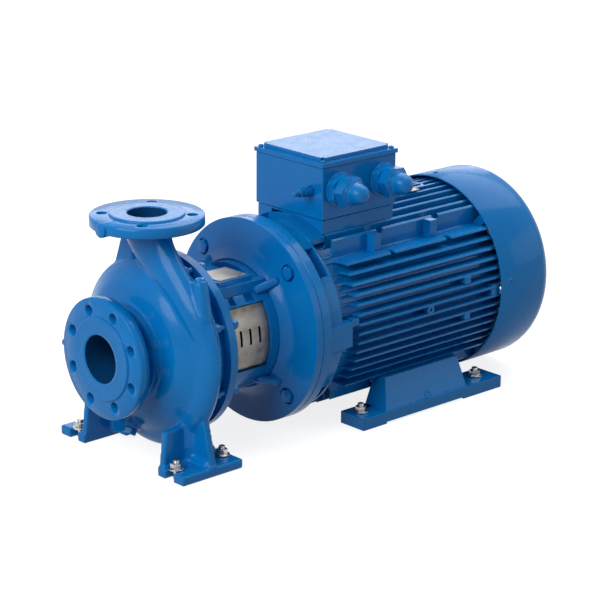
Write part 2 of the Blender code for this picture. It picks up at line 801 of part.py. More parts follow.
def make_casing(root):
    """The volute casing with both flanges, the swept neck, the feet and the bosses."""
    turns = [math.tau * index / CASING_SIDES for index in range(CASING_SIDES)]
    rings = []
    for turn in turns:
        rings.append([shaft_point(x, radius, turn) for x, radius in casing_section(turn)])
    casing = loft(rings, closed=True)
    join(casing, neck(0.0, 22, 1.0), discharge_flange(), solver=CASTING_SOLVER)
    join(casing, *casing_bosses(), solver=CASTING_SOLVER)
    join(casing, pump_foot(-1), pump_foot(1), solver=CASTING_SOLVER)
    bore = rod(
        (SUCTION_TO_DISCHARGE, 0.0, DISCHARGE_FACE + CASING_WALL),
        (SUCTION_TO_DISCHARGE, 0.0, DISCHARGE_FACE - DISCHARGE_FLANGE_THICKNESS * 1.5),
        DISCHARGE_BORE / 2,
        sides=28,
    )
    bores = join(neck(NECK_WALL, 14, 0.97), bore)
    cut(casing, bores, casing_chamber(), casing_holes(), foot_slots(), solver=CASTING_SOLVER)
    drop_slivers(casing)
    finish(casing, "volute_casing", BLUE_PAINT, root)
    drain_start, drain_end = drain_boss_ends()
    aim = (drain_end - drain_start).normalized()
    seat = drain_end + aim * GAP * 1.5
    drain_plug = rod(seat, seat + aim * DRAIN_PLUG_HEIGHT, DRAIN_PLUG_RADIUS, sides=6)
    finish(drain_plug, "drain_plug", BLUE_PAINT, root)
    vent_top, vent_bottom = vent_boss_ends()
    aim = (vent_top - vent_bottom).normalized()
    seat = vent_top + aim * GAP * 1.5
    vent_plug = rod(seat, seat + aim * VENT_PLUG_HEIGHT, VENT_PLUG_RADIUS, sides=16)
    finish(vent_plug, "vent_plug", BLUE_PAINT, root)


def make_cover(root):
    """The casing cover: a spigot in the casing's mouth and the rim that shows in the gap."""
    spigot = CASING_MOUTH_RADIUS - GAP
    seal_bore = SHAFT_DIAMETER / 2 + SEAL_WALL
    hub = COVER_HUB_RADIUS
    hub_end = LANTERN_FRONT + COVER_HUB_DEPTH
    cover = shaft_lathe(
        [
            (CASING_DEPTH - COVER_SPIGOT_DEPTH, seal_bore),
            (CASING_DEPTH - COVER_SPIGOT_DEPTH, spigot),
            (CASING_DEPTH + GAP, spigot),
            (CASING_DEPTH + GAP, COVER_RADIUS),
            (LANTERN_FRONT - GAP, COVER_RADIUS),
            (LANTERN_FRONT - GAP, hub),
            (LANTERN_FRONT + COVER_HUB_DEPTH * 0.6, hub * 0.88),
            (hub_end, hub * 0.56),
            (hub_end, seal_bore),
        ],
        steps=CASING_SIDES,
    )
    finish(cover, "casing_cover", BLUE_PAINT, root)
    seal_end = hub_end + SEAL_WALL / 4
    seal = shaft_lathe(
        [
            (CASING_DEPTH, SHAFT_DIAMETER / 2 + GAP),
            (CASING_DEPTH, seal_bore - GAP),
            (seal_end, seal_bore - GAP),
            (seal_end, SHAFT_DIAMETER / 2 + GAP),
        ],
        steps=16,
    )
    finish(seal, "shaft_seal", STEEL, root)


def vane_outline(front, turn):
    """The curved outline of one impeller vane, across the shaft at a station."""
    eye = SUCTION_BORE / 2
    inner = eye - 3 * VANE_THICKNESS
    outer = IMPELLER_RADIUS - VANE_THICKNESS / 2
    outline = []
    for edge in (-1, 1):
        stretch = []
        for step in range(4):
            share = step / 3
            radius = inner + (outer - inner) * share
            swing = turn - 1.1 * share + edge * VANE_THICKNESS / 2 / radius
            stretch.append(shaft_point(front, radius, swing))
        outline += stretch if edge < 0 else reversed(stretch)
    return outline


def make_impeller(root):
    """Closed impeller with curved vanes, seen through the suction bore, and its shaft."""
    eye = SUCTION_BORE / 2
    shaft = SHAFT_DIAMETER / 2
    hub = shaft + IMPELLER_HUB_WALL
    plate = IMPELLER_PLATE
    rim = IMPELLER_RADIUS
    middle = (eye + rim) / 2
    back = CASING_DEPTH - COVER_SPIGOT_DEPTH - IMPELLER_CLEARANCE
    front = back - IMPELLER_DEPTH
    shroud_end = front + IMPELLER_DEPTH * 0.6
    impeller = shaft_lathe(
        [
            (back - 5 * plate, shaft + GAP),
            (back - 5 * plate, hub),
            (back - 1.7 * plate, eye),
            (back - plate, rim),
            (back, rim),
            (back, shaft + GAP),
        ],
        steps=24,
    )
    shroud = shaft_lathe(
        [
            (front, eye - GAP),
            (front, eye + plate),
            (front + 2.3 * plate, middle + plate),
            (shroud_end, rim),
            (shroud_end + plate, rim),
            (front + 3.4 * plate, middle),
            (front + 2 * plate, eye + plate / 2),
            (front + plate, eye - GAP),
        ],
        steps=24,
    )
    vane_front = front + 2.6 * plate
    vane_length = back - plate / 2 - vane_front
    for turn in bolt_turns(IMPELLER_VANES, 0.0):
        vane = extrude_outline(vane_outline(vane_front, turn), (vane_length, 0.0, 0.0))
        join(impeller, vane)
    trim = shaft_lathe(
        [
            (front - plate, 0.0),
            (front - plate, 2 * rim),
            (shroud_end + plate / 2, 2 * rim),
            (shroud_end + plate / 2, rim + GAP),
            (front + 2.7 * plate, middle + plate / 2),
            (front + 2 * plate, eye),
            (front + 2 * plate, 0.0),
        ],
        steps=24,
    )
    cut(impeller, trim)
    join(impeller, shroud)
    finish(impeller, "impeller", CAST_IRON, root)
    nose = back - 5 * plate - GAP
    pump_shaft = shaft_lathe(
        [
            (nose - shaft, 0.0),
            (nose - shaft, shaft * 0.7),
            (nose - shaft * 0.4, shaft * 0.9),
            (nose, shaft * 0.9),
            (nose, shaft),
            (MOTOR_FACE + MOTOR_FLANGE_THICKNESS, shaft),
            (MOTOR_FACE + MOTOR_FLANGE_THICKNESS, 0.0),
        ],
        steps=16,
    )
    finish(pump_shaft, "pump_shaft", STEEL, root)


def make_casing_bolts(root):
    """Studs from the casing rim through the lantern ring, with a collar and a nut."""
    radius = CASING_BOLT_CIRCLE / 2
    ring_back = LANTERN_FRONT + LANTERN_RING_THICKNESS
    for number, turn in enumerate(bolt_turns(CASING_BOLTS, math.pi / CASING_BOLTS), 1):
        stud = rod(
            shaft_point(CASING_DEPTH - CASING_BOLT_DEPTH + GAP, radius, turn),
            shaft_point(ring_back + CASING_STUD_END, radius, turn),
            CASING_BOLT_DIAMETER / 2,
            sides=8,
        )
        for start, end in (
            (CASING_DEPTH + GAP, CASING_DEPTH + CASING_NUT_HEIGHT),
            (ring_back + GAP, ring_back + CASING_NUT_HEIGHT),
        ):
            collar = rod(
                shaft_point(start, radius, turn), shaft_point(end, radius, turn),
                CASING_NUT_RADIUS, sides=6, turn=turn,
            )
            join(stud, collar)
        finish(stud, f"casing_bolt_{number}", ZINC, root)


def hex_bolt(x, y, seat, bottom):
    """Hexagon bolt standing on a seat, with its washer and its shank down to the bottom."""
    washer_top = seat + GAP + WASHER_THICKNESS
    washer = rod((x, y, seat + GAP), (x, y, washer_top), WASHER_DIAMETER / 2, sides=16)
    head = rod(
        (x, y, washer_top - WASHER_THICKNESS / 2), (x, y, washer_top + HEX_HEIGHT),
        HEX_ACROSS / 2, sides=6, turn=x * 40,
    )
    shank = rod((x, y, bottom), (x, y, washer_top), FOOT_BOLT_DIAMETER / 2, sides=8)
    return join(washer, head, shank)


def make_foot_bolts(root):
    """Four bolts through the pump feet and four through the motor feet."""
    for number, (x, y) in enumerate(pump_foot_bolt_places(), 1):
        bolt = hex_bolt(x, y, PUMP_FOOT_THICKNESS, FOOT_BOLT_RISE)
        finish(bolt, f"pump_foot_bolt_{number}", ZINC, root)
    for number, (x, y) in enumerate(motor_foot_bolt_places(), 1):
        bolt = hex_bolt(x, y, MOTOR_FOOT_THICKNESS, FOOT_BOLT_RISE)
        finish(bolt, f"motor_foot_bolt_{number}", ZINC, root)


def window_cutter(side):
    """The block that opens one side window of the lantern."""
    start = LANTERN_FRONT + WINDOW_START
    low_y, high_y = sorted((side * LANTERN_BODY_RADIUS / 3, side * LANTERN_BODY_RADIUS * 2))
    return box(
        (start, low_y, SHAFT_HEIGHT - WINDOW_BOTTOM),
        (start + WINDOW_LENGTH, high_y, SHAFT_HEIGHT + WINDOW_TOP),
    )


def motor_flange_holes(start, end):
    """Clearance holes for the four motor flange bolts between two stations."""
    radius = MOTOR_FLANGE_BOLT_CIRCLE / 2
    holes = []
    for turn in bolt_turns(MOTOR_FLANGE_BOLTS, math.pi / MOTOR_FLANGE_BOLTS):
        holes.append(
            rod(
                shaft_point(start, radius, turn),
                shaft_point(end, radius, turn),
                MOTOR_FLANGE_BOLT / 2 + GAP,
                sides=12,
            )
        )
    return group(holes)


def make_lantern(root):
    """The bracket between pump and motor, open at both sides behind slotted guards."""
    ring_back = LANTERN_FRONT + LANTERN_RING_THICKNESS
    flange_front = MOTOR_FACE - LANTERN_FLANGE_THICKNESS
    flare = flange_front - FLARE_LENGTH
    body = LANTERN_BODY_RADIUS
    inner = body - LANTERN_WALL
    flange = MOTOR_FLANGE_DIAMETER / 2
    mouth = COVER_RADIUS * 0.625
    lantern = shaft_lathe(
        [
            (LANTERN_FRONT, mouth),
            (LANTERN_FRONT, LANTERN_RING_RADIUS),
            (ring_back, LANTERN_RING_RADIUS),
            (ring_back, body + LANTERN_WALL),
            (ring_back + LANTERN_WALL, body),
            (flare, body + 0.001),
            (flare + FLARE_LENGTH * 0.35, body + LANTERN_WALL * 0.5),
            (flare + FLARE_LENGTH * 0.65, body + LANTERN_WALL * 1.2),
            (flare + FLARE_LENGTH * 0.84, body + LANTERN_WALL * 2.2),
            (flare + FLARE_LENGTH * 0.95, flange - LANTERN_WALL * 0.5),
            (flange_front, flange),
            (MOTOR_FACE, flange),
            (MOTOR_FACE, inner + FLARE_LENGTH),
            (flange_front, inner + FLARE_LENGTH * 0.8),
            (flare, inner),
            (LANTERN_FRONT + LANTERN_WALL, inner),
            (LANTERN_FRONT + LANTERN_WALL, mouth),
        ],
        steps=LARGE_SIDES,
    )
    deck_z = SHAFT_HEIGHT + DECK_TOP
    cut(
        lantern,
        box(
            (ring_back, -DECK_HALF_WIDTH, deck_z),
            (ring_back + DECK_LENGTH - FLARE_LENGTH / 2, DECK_HALF_WIDTH, deck_z + body),
        ),
    )
    deck = box(
        (ring_back - 0.004, -DECK_HALF_WIDTH, deck_z - DECK_THICKNESS),
        (ring_back + DECK_LENGTH, DECK_HALF_WIDTH, deck_z),
    )
    pad_start = LANTERN_FRONT + PLATE_PAD_START
    pad_end = pad_start + PLATE_PAD_LENGTH
    pad_z = deck_z + PLATE_PAD_RISE
    pad = box(
        (pad_start, -PLATE_PAD_HALF_WIDTH, deck_z - DECK_THICKNESS / 2),
        (pad_end, PLATE_PAD_HALF_WIDTH, pad_z),
    )
    join(lantern, deck, pad)
    for side in (-1, 1):
        cut(lantern, window_cutter(side))
    ribs = []
    for degrees in (RIB_TURN, 180.0 - RIB_TURN, 180.0 + RIB_TURN, 360.0 - RIB_TURN):
        turn = math.radians(degrees)
        start = shaft_point(flare - LANTERN_WALL, body, turn)
        end = shaft_point(flange_front - LANTERN_WALL / 2, body + FLARE_LENGTH * 0.6, turn)
        ribs.append(rod(start, end, RIB_RADIUS, sides=10))
    join(lantern, group(ribs))
    recesses = []
    for turn in bolt_turns(MOTOR_FLANGE_BOLTS, math.pi / MOTOR_FLANGE_BOLTS):
        radius = MOTOR_FLANGE_BOLT_CIRCLE / 2
        recesses.append(
            rod(
                shaft_point(flare, radius, turn),
                shaft_point(flange_front + BOLT_RECESS_DEPTH, radius, turn),
                BOLT_RECESS_RADIUS,
                sides=20,
            )
        )
    cut(lantern, group(recesses))
    cut(lantern, motor_flange_holes(flare, MOTOR_FACE + LANTERN_WALL))
    holes = []
    for turn in bolt_turns(CASING_BOLTS, math.pi / CASING_BOLTS):
        radius = CASING_BOLT_CIRCLE / 2
        holes.append(
            rod(
                shaft_point(LANTERN_FRONT - LANTERN_WALL, radius, turn),
                shaft_point(ring_back + LANTERN_WALL, radius, turn),
                CASING_BOLT_DIAMETER / 2 + GAP,
                sides=8,
            )
        )
    cut(lantern, group(holes))
    finish(lantern, "lantern", BLUE_PAINT, root)
    for side, name in ((-1, "guard_near"), (1, "guard_far")):
        finish(make_guard(side), name, STAINLESS, root)
    half = PLATE_PAD_HALF_WIDTH - PLATE_MARGIN
    plate = box(
        (pad_start + PLATE_MARGIN, -half, pad_z + GAP),
        (pad_end - PLATE_MARGIN, half, pad_z + GAP + PLATE_THICKNESS),
    )
    finish(plate, "pump_nameplate", PLATE, root)


def make_guard(side):
    """Slotted sheet guard, bent to the lantern's body and seated in its window."""
    start = LANTERN_FRONT + WINDOW_START + GAP
    length = WINDOW_LENGTH - 2 * GAP
    outer = LANTERN_BODY_RADIUS - GUARD_INSET
    inner = outer - GUARD_THICKNESS
    top = math.asin((WINDOW_TOP - GAP) / outer)
    bottom = -math.asin((WINDOW_BOTTOM - GAP) / outer)
    steps = 8
    swings = [bottom + (top - bottom) * index / steps for index in range(steps + 1)]
    outline = []
    for swing in swings:
        outline.append((side * outer * math.cos(swing), SHAFT_HEIGHT + outer * math.sin(swing)))
    for swing in reversed(swings):
        outline.append((side * inner * math.cos(swing), SHAFT_HEIGHT + inner * math.sin(swing)))
    guard = cross_prism(outline, start, length)
    slots = []
    high = SHAFT_HEIGHT + GUARD_SLOT_TOP
    for index in range(GUARD_SLOTS):
        x = start + GUARD_SLOT_FIRST + GUARD_SLOT_PITCH * index
        low_y, high_y = sorted((side * inner / 2, side * outer * 2))
        slots.append(
            box((x, low_y, high - GUARD_SLOT_LENGTH), (x + GUARD_SLOT_WIDTH, high_y, high))
        )
    return cut(guard, group(slots))


def make_flange_bolts(root):
    """The four bolts that hold the motor flange to the lantern, sunk in its recesses."""
    radius = MOTOR_FLANGE_BOLT_CIRCLE / 2
    seat = MOTOR_FACE - LANTERN_FLANGE_THICKNESS + BOLT_RECESS_DEPTH
    for number, turn in enumerate(bolt_turns(MOTOR_FLANGE_BOLTS, math.pi / 4), 1):
        head = rod(
            shaft_point(seat - GAP - BOLT_HEAD_HEIGHT, radius, turn),
            shaft_point(seat - GAP, radius, turn),
            BOLT_HEAD_RADIUS, sides=6, turn=turn,
        )
        shank = rod(
            shaft_point(seat - GAP - BOLT_HEAD_HEIGHT / 2, radius, turn),
            shaft_point(MOTOR_FACE + MOTOR_FLANGE_THICKNESS * 0.8, radius, turn),
            MOTOR_FLANGE_BOLT / 2,
            sides=12,
        )
        finish(join(head, shank), f"flange_bolt_{number}", ZINC, root)


def make_endshield(root):
    """The motor's drive-end shield: flange, drum with cast pockets, and two side lugs."""
    flange = MOTOR_FLANGE_DIAMETER / 2
    drum = ENDSHIELD_DRUM_RADIUS
    shaft = SHAFT_DIAMETER / 2 + GAP
    start = MOTOR_FACE + GAP
    step = start + MOTOR_FLANGE_THICKNESS
    hollow = LANTERN_BODY_RADIUS + LANTERN_WALL
    shield = shaft_lathe(
        [
            (start, hollow + 0.007),
            (start, flange - 0.002),
            (start + 0.002, flange),
            (step - 0.002, flange),
            (step, flange - 0.003),
            (step + 0.003, drum),
            (FRAME_FRONT - 0.010, drum),
            (FRAME_FRONT - GAP, FRAME_CORE_RADIUS + 0.004),
            (FRAME_FRONT - GAP, 0.0),
            (step + 0.004, 0.0),
            (step + 0.004, shaft),
            (start - 0.006, shaft),
            (start - 0.006, SHAFT_DIAMETER * 1.9),
            (start + 0.010, hollow - 0.008),
            (start + 0.010, hollow + 0.007),
        ],
        steps=LARGE_SIDES,
    )
    for side in (-1, 1):
        low_y, high_y = sorted((side * (FRAME_CORE_RADIUS + 0.003), side * LUG_OUTER_Y))
        lug = box(
            (step + 0.001, low_y, SHAFT_HEIGHT + LUG_BOTTOM),
            (step + LUG_LENGTH, high_y, SHAFT_HEIGHT + LUG_TOP),
        )
        join(shield, lug)
    pockets = []
    for turn in POCKET_TURNS:
        x = step + 0.004
        pocket = box(
            (x, -POCKET_HALF_WIDTH, drum - POCKET_DEPTH),
            (x + POCKET_LENGTH, POCKET_HALF_WIDTH, drum + POCKET_DEPTH),
        )
        pocket.data.transform(shaft_turn(math.radians(turn)))
        pockets.append(pocket)
    cut(shield, group(pockets))
    cut(shield, motor_flange_holes(MOTOR_FACE - 0.01, MOTOR_FACE + MOTOR_FLANGE_THICKNESS * 0.85))
    finish(shield, "drive_endshield", MOTOR_PAINT, root)


def frame_outline():
    """Closed (y, z) outline of the finned frame, going round from the right-hand side."""
    half = FIN_THICKNESS / 2
    core = FRAME_CORE_RADIUS
    outline = []

    def add_fin(place, tip, quarter):
        for offset, reach in ((-half, core), (-half, tip), (half, tip), (half, core)):
            across = place + offset
            out = math.sqrt(reach**2 - across**2)
            y, z = out, across
            for _ in range(quarter):
                y, z = -z, y
            outline.append((y, SHAFT_HEIGHT + z))

    for quarter in range(4):
        count = SIDE_FINS if quarter % 2 == 0 else TOP_FINS
        for index in range(count):
            place = FIN_PITCH * (index - (count - 1) / 2)
            at_corner = index in (0, count - 1)
            add_fin(place, CORNER_FIN_RADIUS if at_corner else FIN_TIP_RADIUS, quarter)
    return outline


def rim_block(start, length, inner, outer, turn, spread):
    """A curved pad between two radii, spread evenly to both sides of a turn."""
    outline = []
    for radius, share in ((inner, -1), (outer, -1), (outer, 0), (outer, 1), (inner, 1)):
        outline.append(shaft_point(start, radius, turn + share * spread / 2))
    return extrude_outline(outline, (length, 0.0, 0.0))


def foot_seat_turns():
    """Turns, from straight down, at which a foot's seat on the frame starts and ends."""
    seat = FIN_TIP_RADIUS + GAP
    drop = SHAFT_HEIGHT - PEDESTAL_TOP
    inner = MOTOR_FOOT_OUTER_Y - MOTOR_FOOT_WIDTH
    return math.acos(drop / seat), math.asin(inner / seat)


def corner_post(station, side):
    """A mounting post in the upper corner between the outermost top and side fins."""
    inner = FIN_PITCH * (TOP_FINS - 1) / 2
    low_y, high_y = sorted((side * inner, side * CORNER_POST_OUTER_Y))
    ledge = SHAFT_HEIGHT + FIN_PITCH * (SIDE_FINS - 1) / 2
    top = SHAFT_HEIGHT + CORNER_POST_TOP
    return box((station, low_y, ledge), (station + CORNER_POST_LENGTH, high_y, top))


def corner_notches(station, side):
    """The round notch in the outermost top fin and the square one in the ledge below."""
    middle = station + NOTCH_FROM_POST
    upright = FIN_PITCH * (TOP_FINS - 1) / 2
    low_y, high_y = sorted((side * (upright - FIN_THICKNESS), side * (upright + FIN_THICKNESS)))
    tip = SHAFT_HEIGHT + math.sqrt(CORNER_FIN_RADIUS**2 - upright**2)
    z = tip - FIN_THICKNESS / 2
    round_notch = rod((middle, low_y, z), (middle, high_y, z), FIN_NOTCH_RADIUS, sides=12)
    ledge = FIN_PITCH * (SIDE_FINS - 1) / 2
    edge = math.sqrt(CORNER_FIN_RADIUS**2 - ledge**2)
    low_y, high_y = sorted((side * (edge - LEDGE_NOTCH_DEPTH), side * (edge + FIN_THICKNESS)))
    half = LEDGE_NOTCH_LENGTH / 2
    square_notch = box(
        (middle - half, low_y, SHAFT_HEIGHT + ledge - FIN_THICKNESS),
        (middle + half, high_y, SHAFT_HEIGHT + ledge + FIN_THICKNESS),
    )
    return [round_notch, square_notch]


def frame_pads(side, core):
    """Foot seats, side blocks and corner posts of one side of the frame."""
    high, low = foot_seat_turns()
    turn = math.pi - side * (high + low) / 2
    pads = []
    for station in FOOT_PAD_STATIONS:
        x = MOTOR_FACE + station
        pads.append(rim_block(x, FOOT_PAD_LENGTH, core, FIN_TIP_RADIUS, turn, high - low))
    inner_y = core - FIN_THICKNESS / 2
    low_y, high_y = sorted((side * inner_y, side * (FIN_TIP_RADIUS - FIN_THICKNESS / 4)))
    for station, length, height, depth in SIDE_BLOCKS:
        x = FRAME_FRONT + station
        z = SHAFT_HEIGHT + height
        pads.append(box((x, low_y, z - depth / 2), (x + length, high_y, z + depth / 2)))
    for station in CORNER_POST_STATIONS:
        pads.append(corner_post(MOTOR_FACE + station, side))
    return pads


def make_frame(root):
    """The finned frame: one extrusion, a bare neck, pads, posts, notches and cowl lugs."""
    frame = cross_prism(frame_outline(), FRAME_FRONT, FRAME_LENGTH)
    core = FRAME_CORE_RADIUS - FIN_THICKNESS
    neck_radius = FRAME_CORE_RADIUS + FIN_THICKNESS / 2
    neck_start = FRAME_FRONT - FIN_PITCH
    fin_start = FRAME_FRONT + FRAME_NECK_LENGTH
    clear = CORNER_FIN_RADIUS + FIN_PITCH
    bare = shaft_lathe(
        [
            (neck_start, neck_radius),
            (fin_start, neck_radius),
            (fin_start + FIN_THICKNESS, neck_radius + 2 * FIN_THICKNESS),
            (fin_start + FIN_THICKNESS, clear),
            (neck_start, clear),
        ],
        steps=LARGE_SIDES,
    )
    cut(frame, bare)
    pads = frame_pads(-1, core) + frame_pads(1, core)
    lug_outer = (COWL_RADIUS - COWL_SHEET) * math.cos(math.pi / COWL_SIDES) - GAP
    lug_start = COWL_FRONT + FIN_THICKNESS / 4
    lug_length = COWL_OVERLAP - FIN_THICKNESS
    for turn in bolt_turns(COWL_LUGS, math.pi / COWL_LUGS):
        pads.append(rim_block(lug_start, lug_length, core, lug_outer, turn, 0.10))
    join(frame, group(pads))
    middle = FRAME_FRONT + EYE_BOSS_STATION
    bosses = []
    cuts = []
    for side in (-1, 1):
        face = side * FIN_TIP_RADIUS
        root_point = (middle, face * 0.87, SHAFT_HEIGHT)
        bosses.append(rod(root_point, (middle, face, SHAFT_HEIGHT), EYE_BOSS_RADIUS, sides=16))
        drill = (middle, face * 0.96, SHAFT_HEIGHT)
        cuts.append(rod(drill, (middle, face * 1.02, SHAFT_HEIGHT), EYE_BOSS_RADIUS * 0.4, sides=8))
        for station in CORNER_POST_STATIONS:
            cuts += corner_notches(MOTOR_FACE + station, side)
    join(frame, group(bosses))
    cut(frame, group(cuts))
    finish(frame, "motor_frame", MOTOR_PAINT, root)


def motor_foot_bolt_places():
    """Centres of the four motor foot bolts."""
    middle = MOTOR_FACE + MOTOR_FOOT_FROM_FLANGE + MOTOR_FOOT_LENGTH / 2 - MOTOR_FOOT_BOLT_OFFSET
    half = MOTOR_FOOT_BOLT_SPACING / 2
    return [(middle + x, side * MOTOR_FOOT_BOLT_Y) for side in (-1, 1) for x in (-half, half)]


def pedestal(side, start):
    """The block of a motor foot that rises to the fin tips, with a sloping front."""
    seat = FIN_TIP_RADIUS + GAP
    inner = MOTOR_FOOT_OUTER_Y - MOTOR_FOOT_WIDTH
    arc_start, arc_end = foot_seat_turns()
    draft = PEDESTAL_LEDGE / 3
    outer_y = MOTOR_FOOT_OUTER_Y - draft
    outline = [
        (side * (inner + GAP), MOTOR_FOOT_THICKNESS / 2),
        (side * outer_y, MOTOR_FOOT_THICKNESS / 2),
        (side * outer_y, MOTOR_FOOT_THICKNESS),
        (side * (seat * math.sin(arc_start) + PEDESTAL_LEDGE), PEDESTAL_TOP),
    ]
    for step in range(3):
        swing = arc_start + (arc_end - arc_start) * step / 2
        y = side * seat * math.sin(swing)
        outline.append((y, SHAFT_HEIGHT - seat * math.cos(swing)))
    outline.append((side * (inner + GAP), SHAFT_HEIGHT - seat * math.cos(arc_end) - draft))
    made = cross_prism(outline, start, PEDESTAL_LENGTH)
    rise = SHAFT_HEIGHT - MOTOR_FOOT_THICKNESS
    low_y, high_y = sorted((side * inner / 2, side * MOTOR_FOOT_OUTER_Y * 2))
    wedge = side_prism(
        [
            (start - MOTOR_FOOT_THICKNESS, MOTOR_FOOT_THICKNESS),
            (start, MOTOR_FOOT_THICKNESS),
            (start + rise * PEDESTAL_FRONT_SLOPE, SHAFT_HEIGHT),
            (start - MOTOR_FOOT_THICKNESS, SHAFT_HEIGHT),
        ],
        low_y,
        high_y - low_y,
    )
    return cut(made, wedge)


def make_motor_feet(root):
    """Two bolted feet: a long plate with a pedestal that seats on the fin tips."""
    start = MOTOR_FACE + MOTOR_FOOT_FROM_FLANGE
    end = start + MOTOR_FOOT_LENGTH
    inner = MOTOR_FOOT_OUTER_Y - MOTOR_FOOT_WIDTH
    thick = MOTOR_FOOT_THICKNESS
    for side, name in ((-1, "motor_foot_near"), (1, "motor_foot_far")):
        low_y, high_y = sorted((side * inner, side * MOTOR_FOOT_OUTER_Y))
        foot = box((start, low_y, 0.0), (end, high_y, thick))
        join(foot, pedestal(side, start + PEDESTAL_FROM_FOOT))
        recess = box(
            (start + MOTOR_FOOT_PAD_FRONT, low_y - thick, -thick),
            (end - MOTOR_FOOT_PAD_REAR, high_y + thick, MOTOR_FOOT_RECESS),
        )
        holes = []
        for x, y in motor_foot_bolt_places():
            if y * side > 0:
                holes.append(rod((x, y, -thick), (x, y, 2 * thick), FOOT_HOLE_DIAMETER / 2, sides=12))
        cut(foot, recess, group(holes))
        finish(foot, name, MOTOR_PAINT, root)


def cowl_arc(radius, outward):
    """Rounded rear corner of the cowl as (station, radius) points, out to in or back."""
    middle_x = OVERALL_LENGTH - COWL_CORNER_RADIUS
    middle_r = COWL_RADIUS - COWL_CORNER_RADIUS
    steps = range(5, -1, -1) if outward else range(6)
    swings = [math.pi / 2 * step / 5 for step in steps]
    return [
        (middle_x + radius * math.sin(swing), middle_r + radius * math.cos(swing))
        for swing in swings
    ]


def make_cowl(root):
    """Pressed fan cowl: a turned shell, rounded at the rear, with a slotted rear wall."""
    end = OVERALL_LENGTH
    outline = [(COWL_FRONT, COWL_RADIUS - COWL_SHEET), (COWL_FRONT, COWL_RADIUS)]
    outline += cowl_arc(COWL_CORNER_RADIUS, outward=False)
    outline += [(end, 0.0), (end - COWL_SHEET, 0.0)]
    outline += cowl_arc(COWL_CORNER_RADIUS - COWL_SHEET, outward=True)
    cowl = shaft_lathe(outline, steps=COWL_SIDES)
    slots = []
    half = GRILLE_SLOT_WIDTH / 2
    for turn in bolt_turns(GRILLE_SLOTS, math.pi / GRILLE_SLOTS):
        for low, high in GRILLE_ROWS:
            slot = box(
                (end - COWL_CORNER_RADIUS / 2, -half, COWL_RADIUS * low),
                (end + COWL_SHEET, half, COWL_RADIUS * high),
            )
            slot.data.transform(shaft_turn(turn))
            slots.append(slot)
    cut(cowl, group(slots))
    finish(cowl, "fan_cowl", MOTOR_PAINT, root)


def make_fan(root):
    """What the grille shows: the rear end shield, the fan shaft and the fan."""
    core = FRAME_CORE_RADIUS
    shaft = SHAFT_DIAMETER / 2
    shield_start = FRAME_REAR + GAP
    shield_rear = FRAME_REAR + REAR_ENDSHIELD_THICKNESS
    hub_rear = shield_rear + REAR_HUB_LENGTH
    shield = shaft_lathe(
        [
            (shield_start, 0.0),
            (shield_start, core - COWL_SHEET),
            (shield_rear - REAR_HUB_LENGTH / 2, core - 2 * COWL_SHEET),
            (shield_rear, core * 0.4),
            (hub_rear, REAR_HUB_RADIUS),
            (hub_rear, shaft + GAP),
            (shield_rear, shaft + GAP),
            (shield_rear, 0.0),
        ],
        steps=32,
    )
    finish(shield, "rear_endshield", MOTOR_PAINT, root)
    stub_end = OVERALL_LENGTH - FAN_SHAFT_FROM_END
    stub_start = shaft_point(shield_rear + GAP, 0.0, 0.0)
    stub = rod(stub_start, shaft_point(stub_end, 0.0, 0.0), shaft, sides=20)
    finish(stub, "fan_shaft", STEEL, root)
    fan_front = shield_rear + FAN_FROM_ENDSHIELD
    fan_rear = stub_end - FAN_BLADE_THICKNESS
    sheet = FAN_BLADE_THICKNESS
    fan = shaft_lathe(
        [
            (fan_front, shaft + GAP),
            (fan_front, FAN_RADIUS * 0.85),
            (fan_front + sheet, FAN_RADIUS * 0.85),
            (fan_front + sheet * 1.3, shaft * 1.6),
            (fan_rear, shaft * 1.4),
            (fan_rear, shaft + GAP),
        ],
        steps=24,
    )
    for turn in bolt_turns(FAN_BLADES, 0.0):
        blade = box(
            (fan_front + sheet / 3, -sheet / 2, shaft * 1.3),
            (fan_rear - sheet, sheet / 2, FAN_RADIUS),
        )
        blade.data.transform(shaft_turn(turn))
        join(fan, blade)
    finish(fan, "fan", PLASTIC, root)


def make_box_base(start, end, root):
    """The riser between the round frame and the flat box, with its front pocket."""
    wide = BOX_HALF_WIDTH - RISER_INSET
    front = start + RISER_INSET
    riser = box((front, -wide, SHAFT_HEIGHT + RISER_BOTTOM), (end - RISER_INSET, wide, BOX_BOTTOM))
    pocket = box(
        (front - RISER_POCKET_DEPTH, RISER_POCKET_LOW_Y, SHAFT_HEIGHT),
        (front + RISER_POCKET_DEPTH, RISER_POCKET_HIGH_Y, BOX_BOTTOM - RISER_INSET),
    )
    core = rod(
        shaft_point(start - RISER_POCKET_DEPTH, 0.0, 0.0),
        shaft_point(end + RISER_POCKET_DEPTH, 0.0, 0.0),
        FIN_TIP_RADIUS + GAP, sides=72,
    )
    cut(riser, pocket, core)
    finish(riser, "terminal_box_base", MOTOR_PAINT, root)


def make_lid(start, end, root):
    """The lid: a rim plate with notched corners under a raised panel."""
    over = LID_OVERHANG
    wide = BOX_HALF_WIDTH
    bottom = BOX_TOP + GAP
    rim_top = bottom + LID_RIM
    lid = box((start - over, -wide - over, bottom), (end + over, wide + over, rim_top))
    inset = LID_PANEL_INSET
    panel_top = rim_top + LID_PANEL_RISE
    panel = box(
        (start + inset, -wide + inset, bottom + LID_RIM / 2), (end - inset, wide - inset, panel_top)
    )
    join(lid, panel)
    notches = []
    for x in (start, end):
        for y in (-wide, wide):
            notches.append(
                box(
                    (x - LID_CORNER_NOTCH, y - LID_CORNER_NOTCH, rim_top - GAP),
                    (x + LID_CORNER_NOTCH, y + LID_CORNER_NOTCH, panel_top + LID_RIM),
                )
            )
    cut(lid, group(notches))
    finish(lid, "terminal_box_lid", MOTOR_PAINT, root)


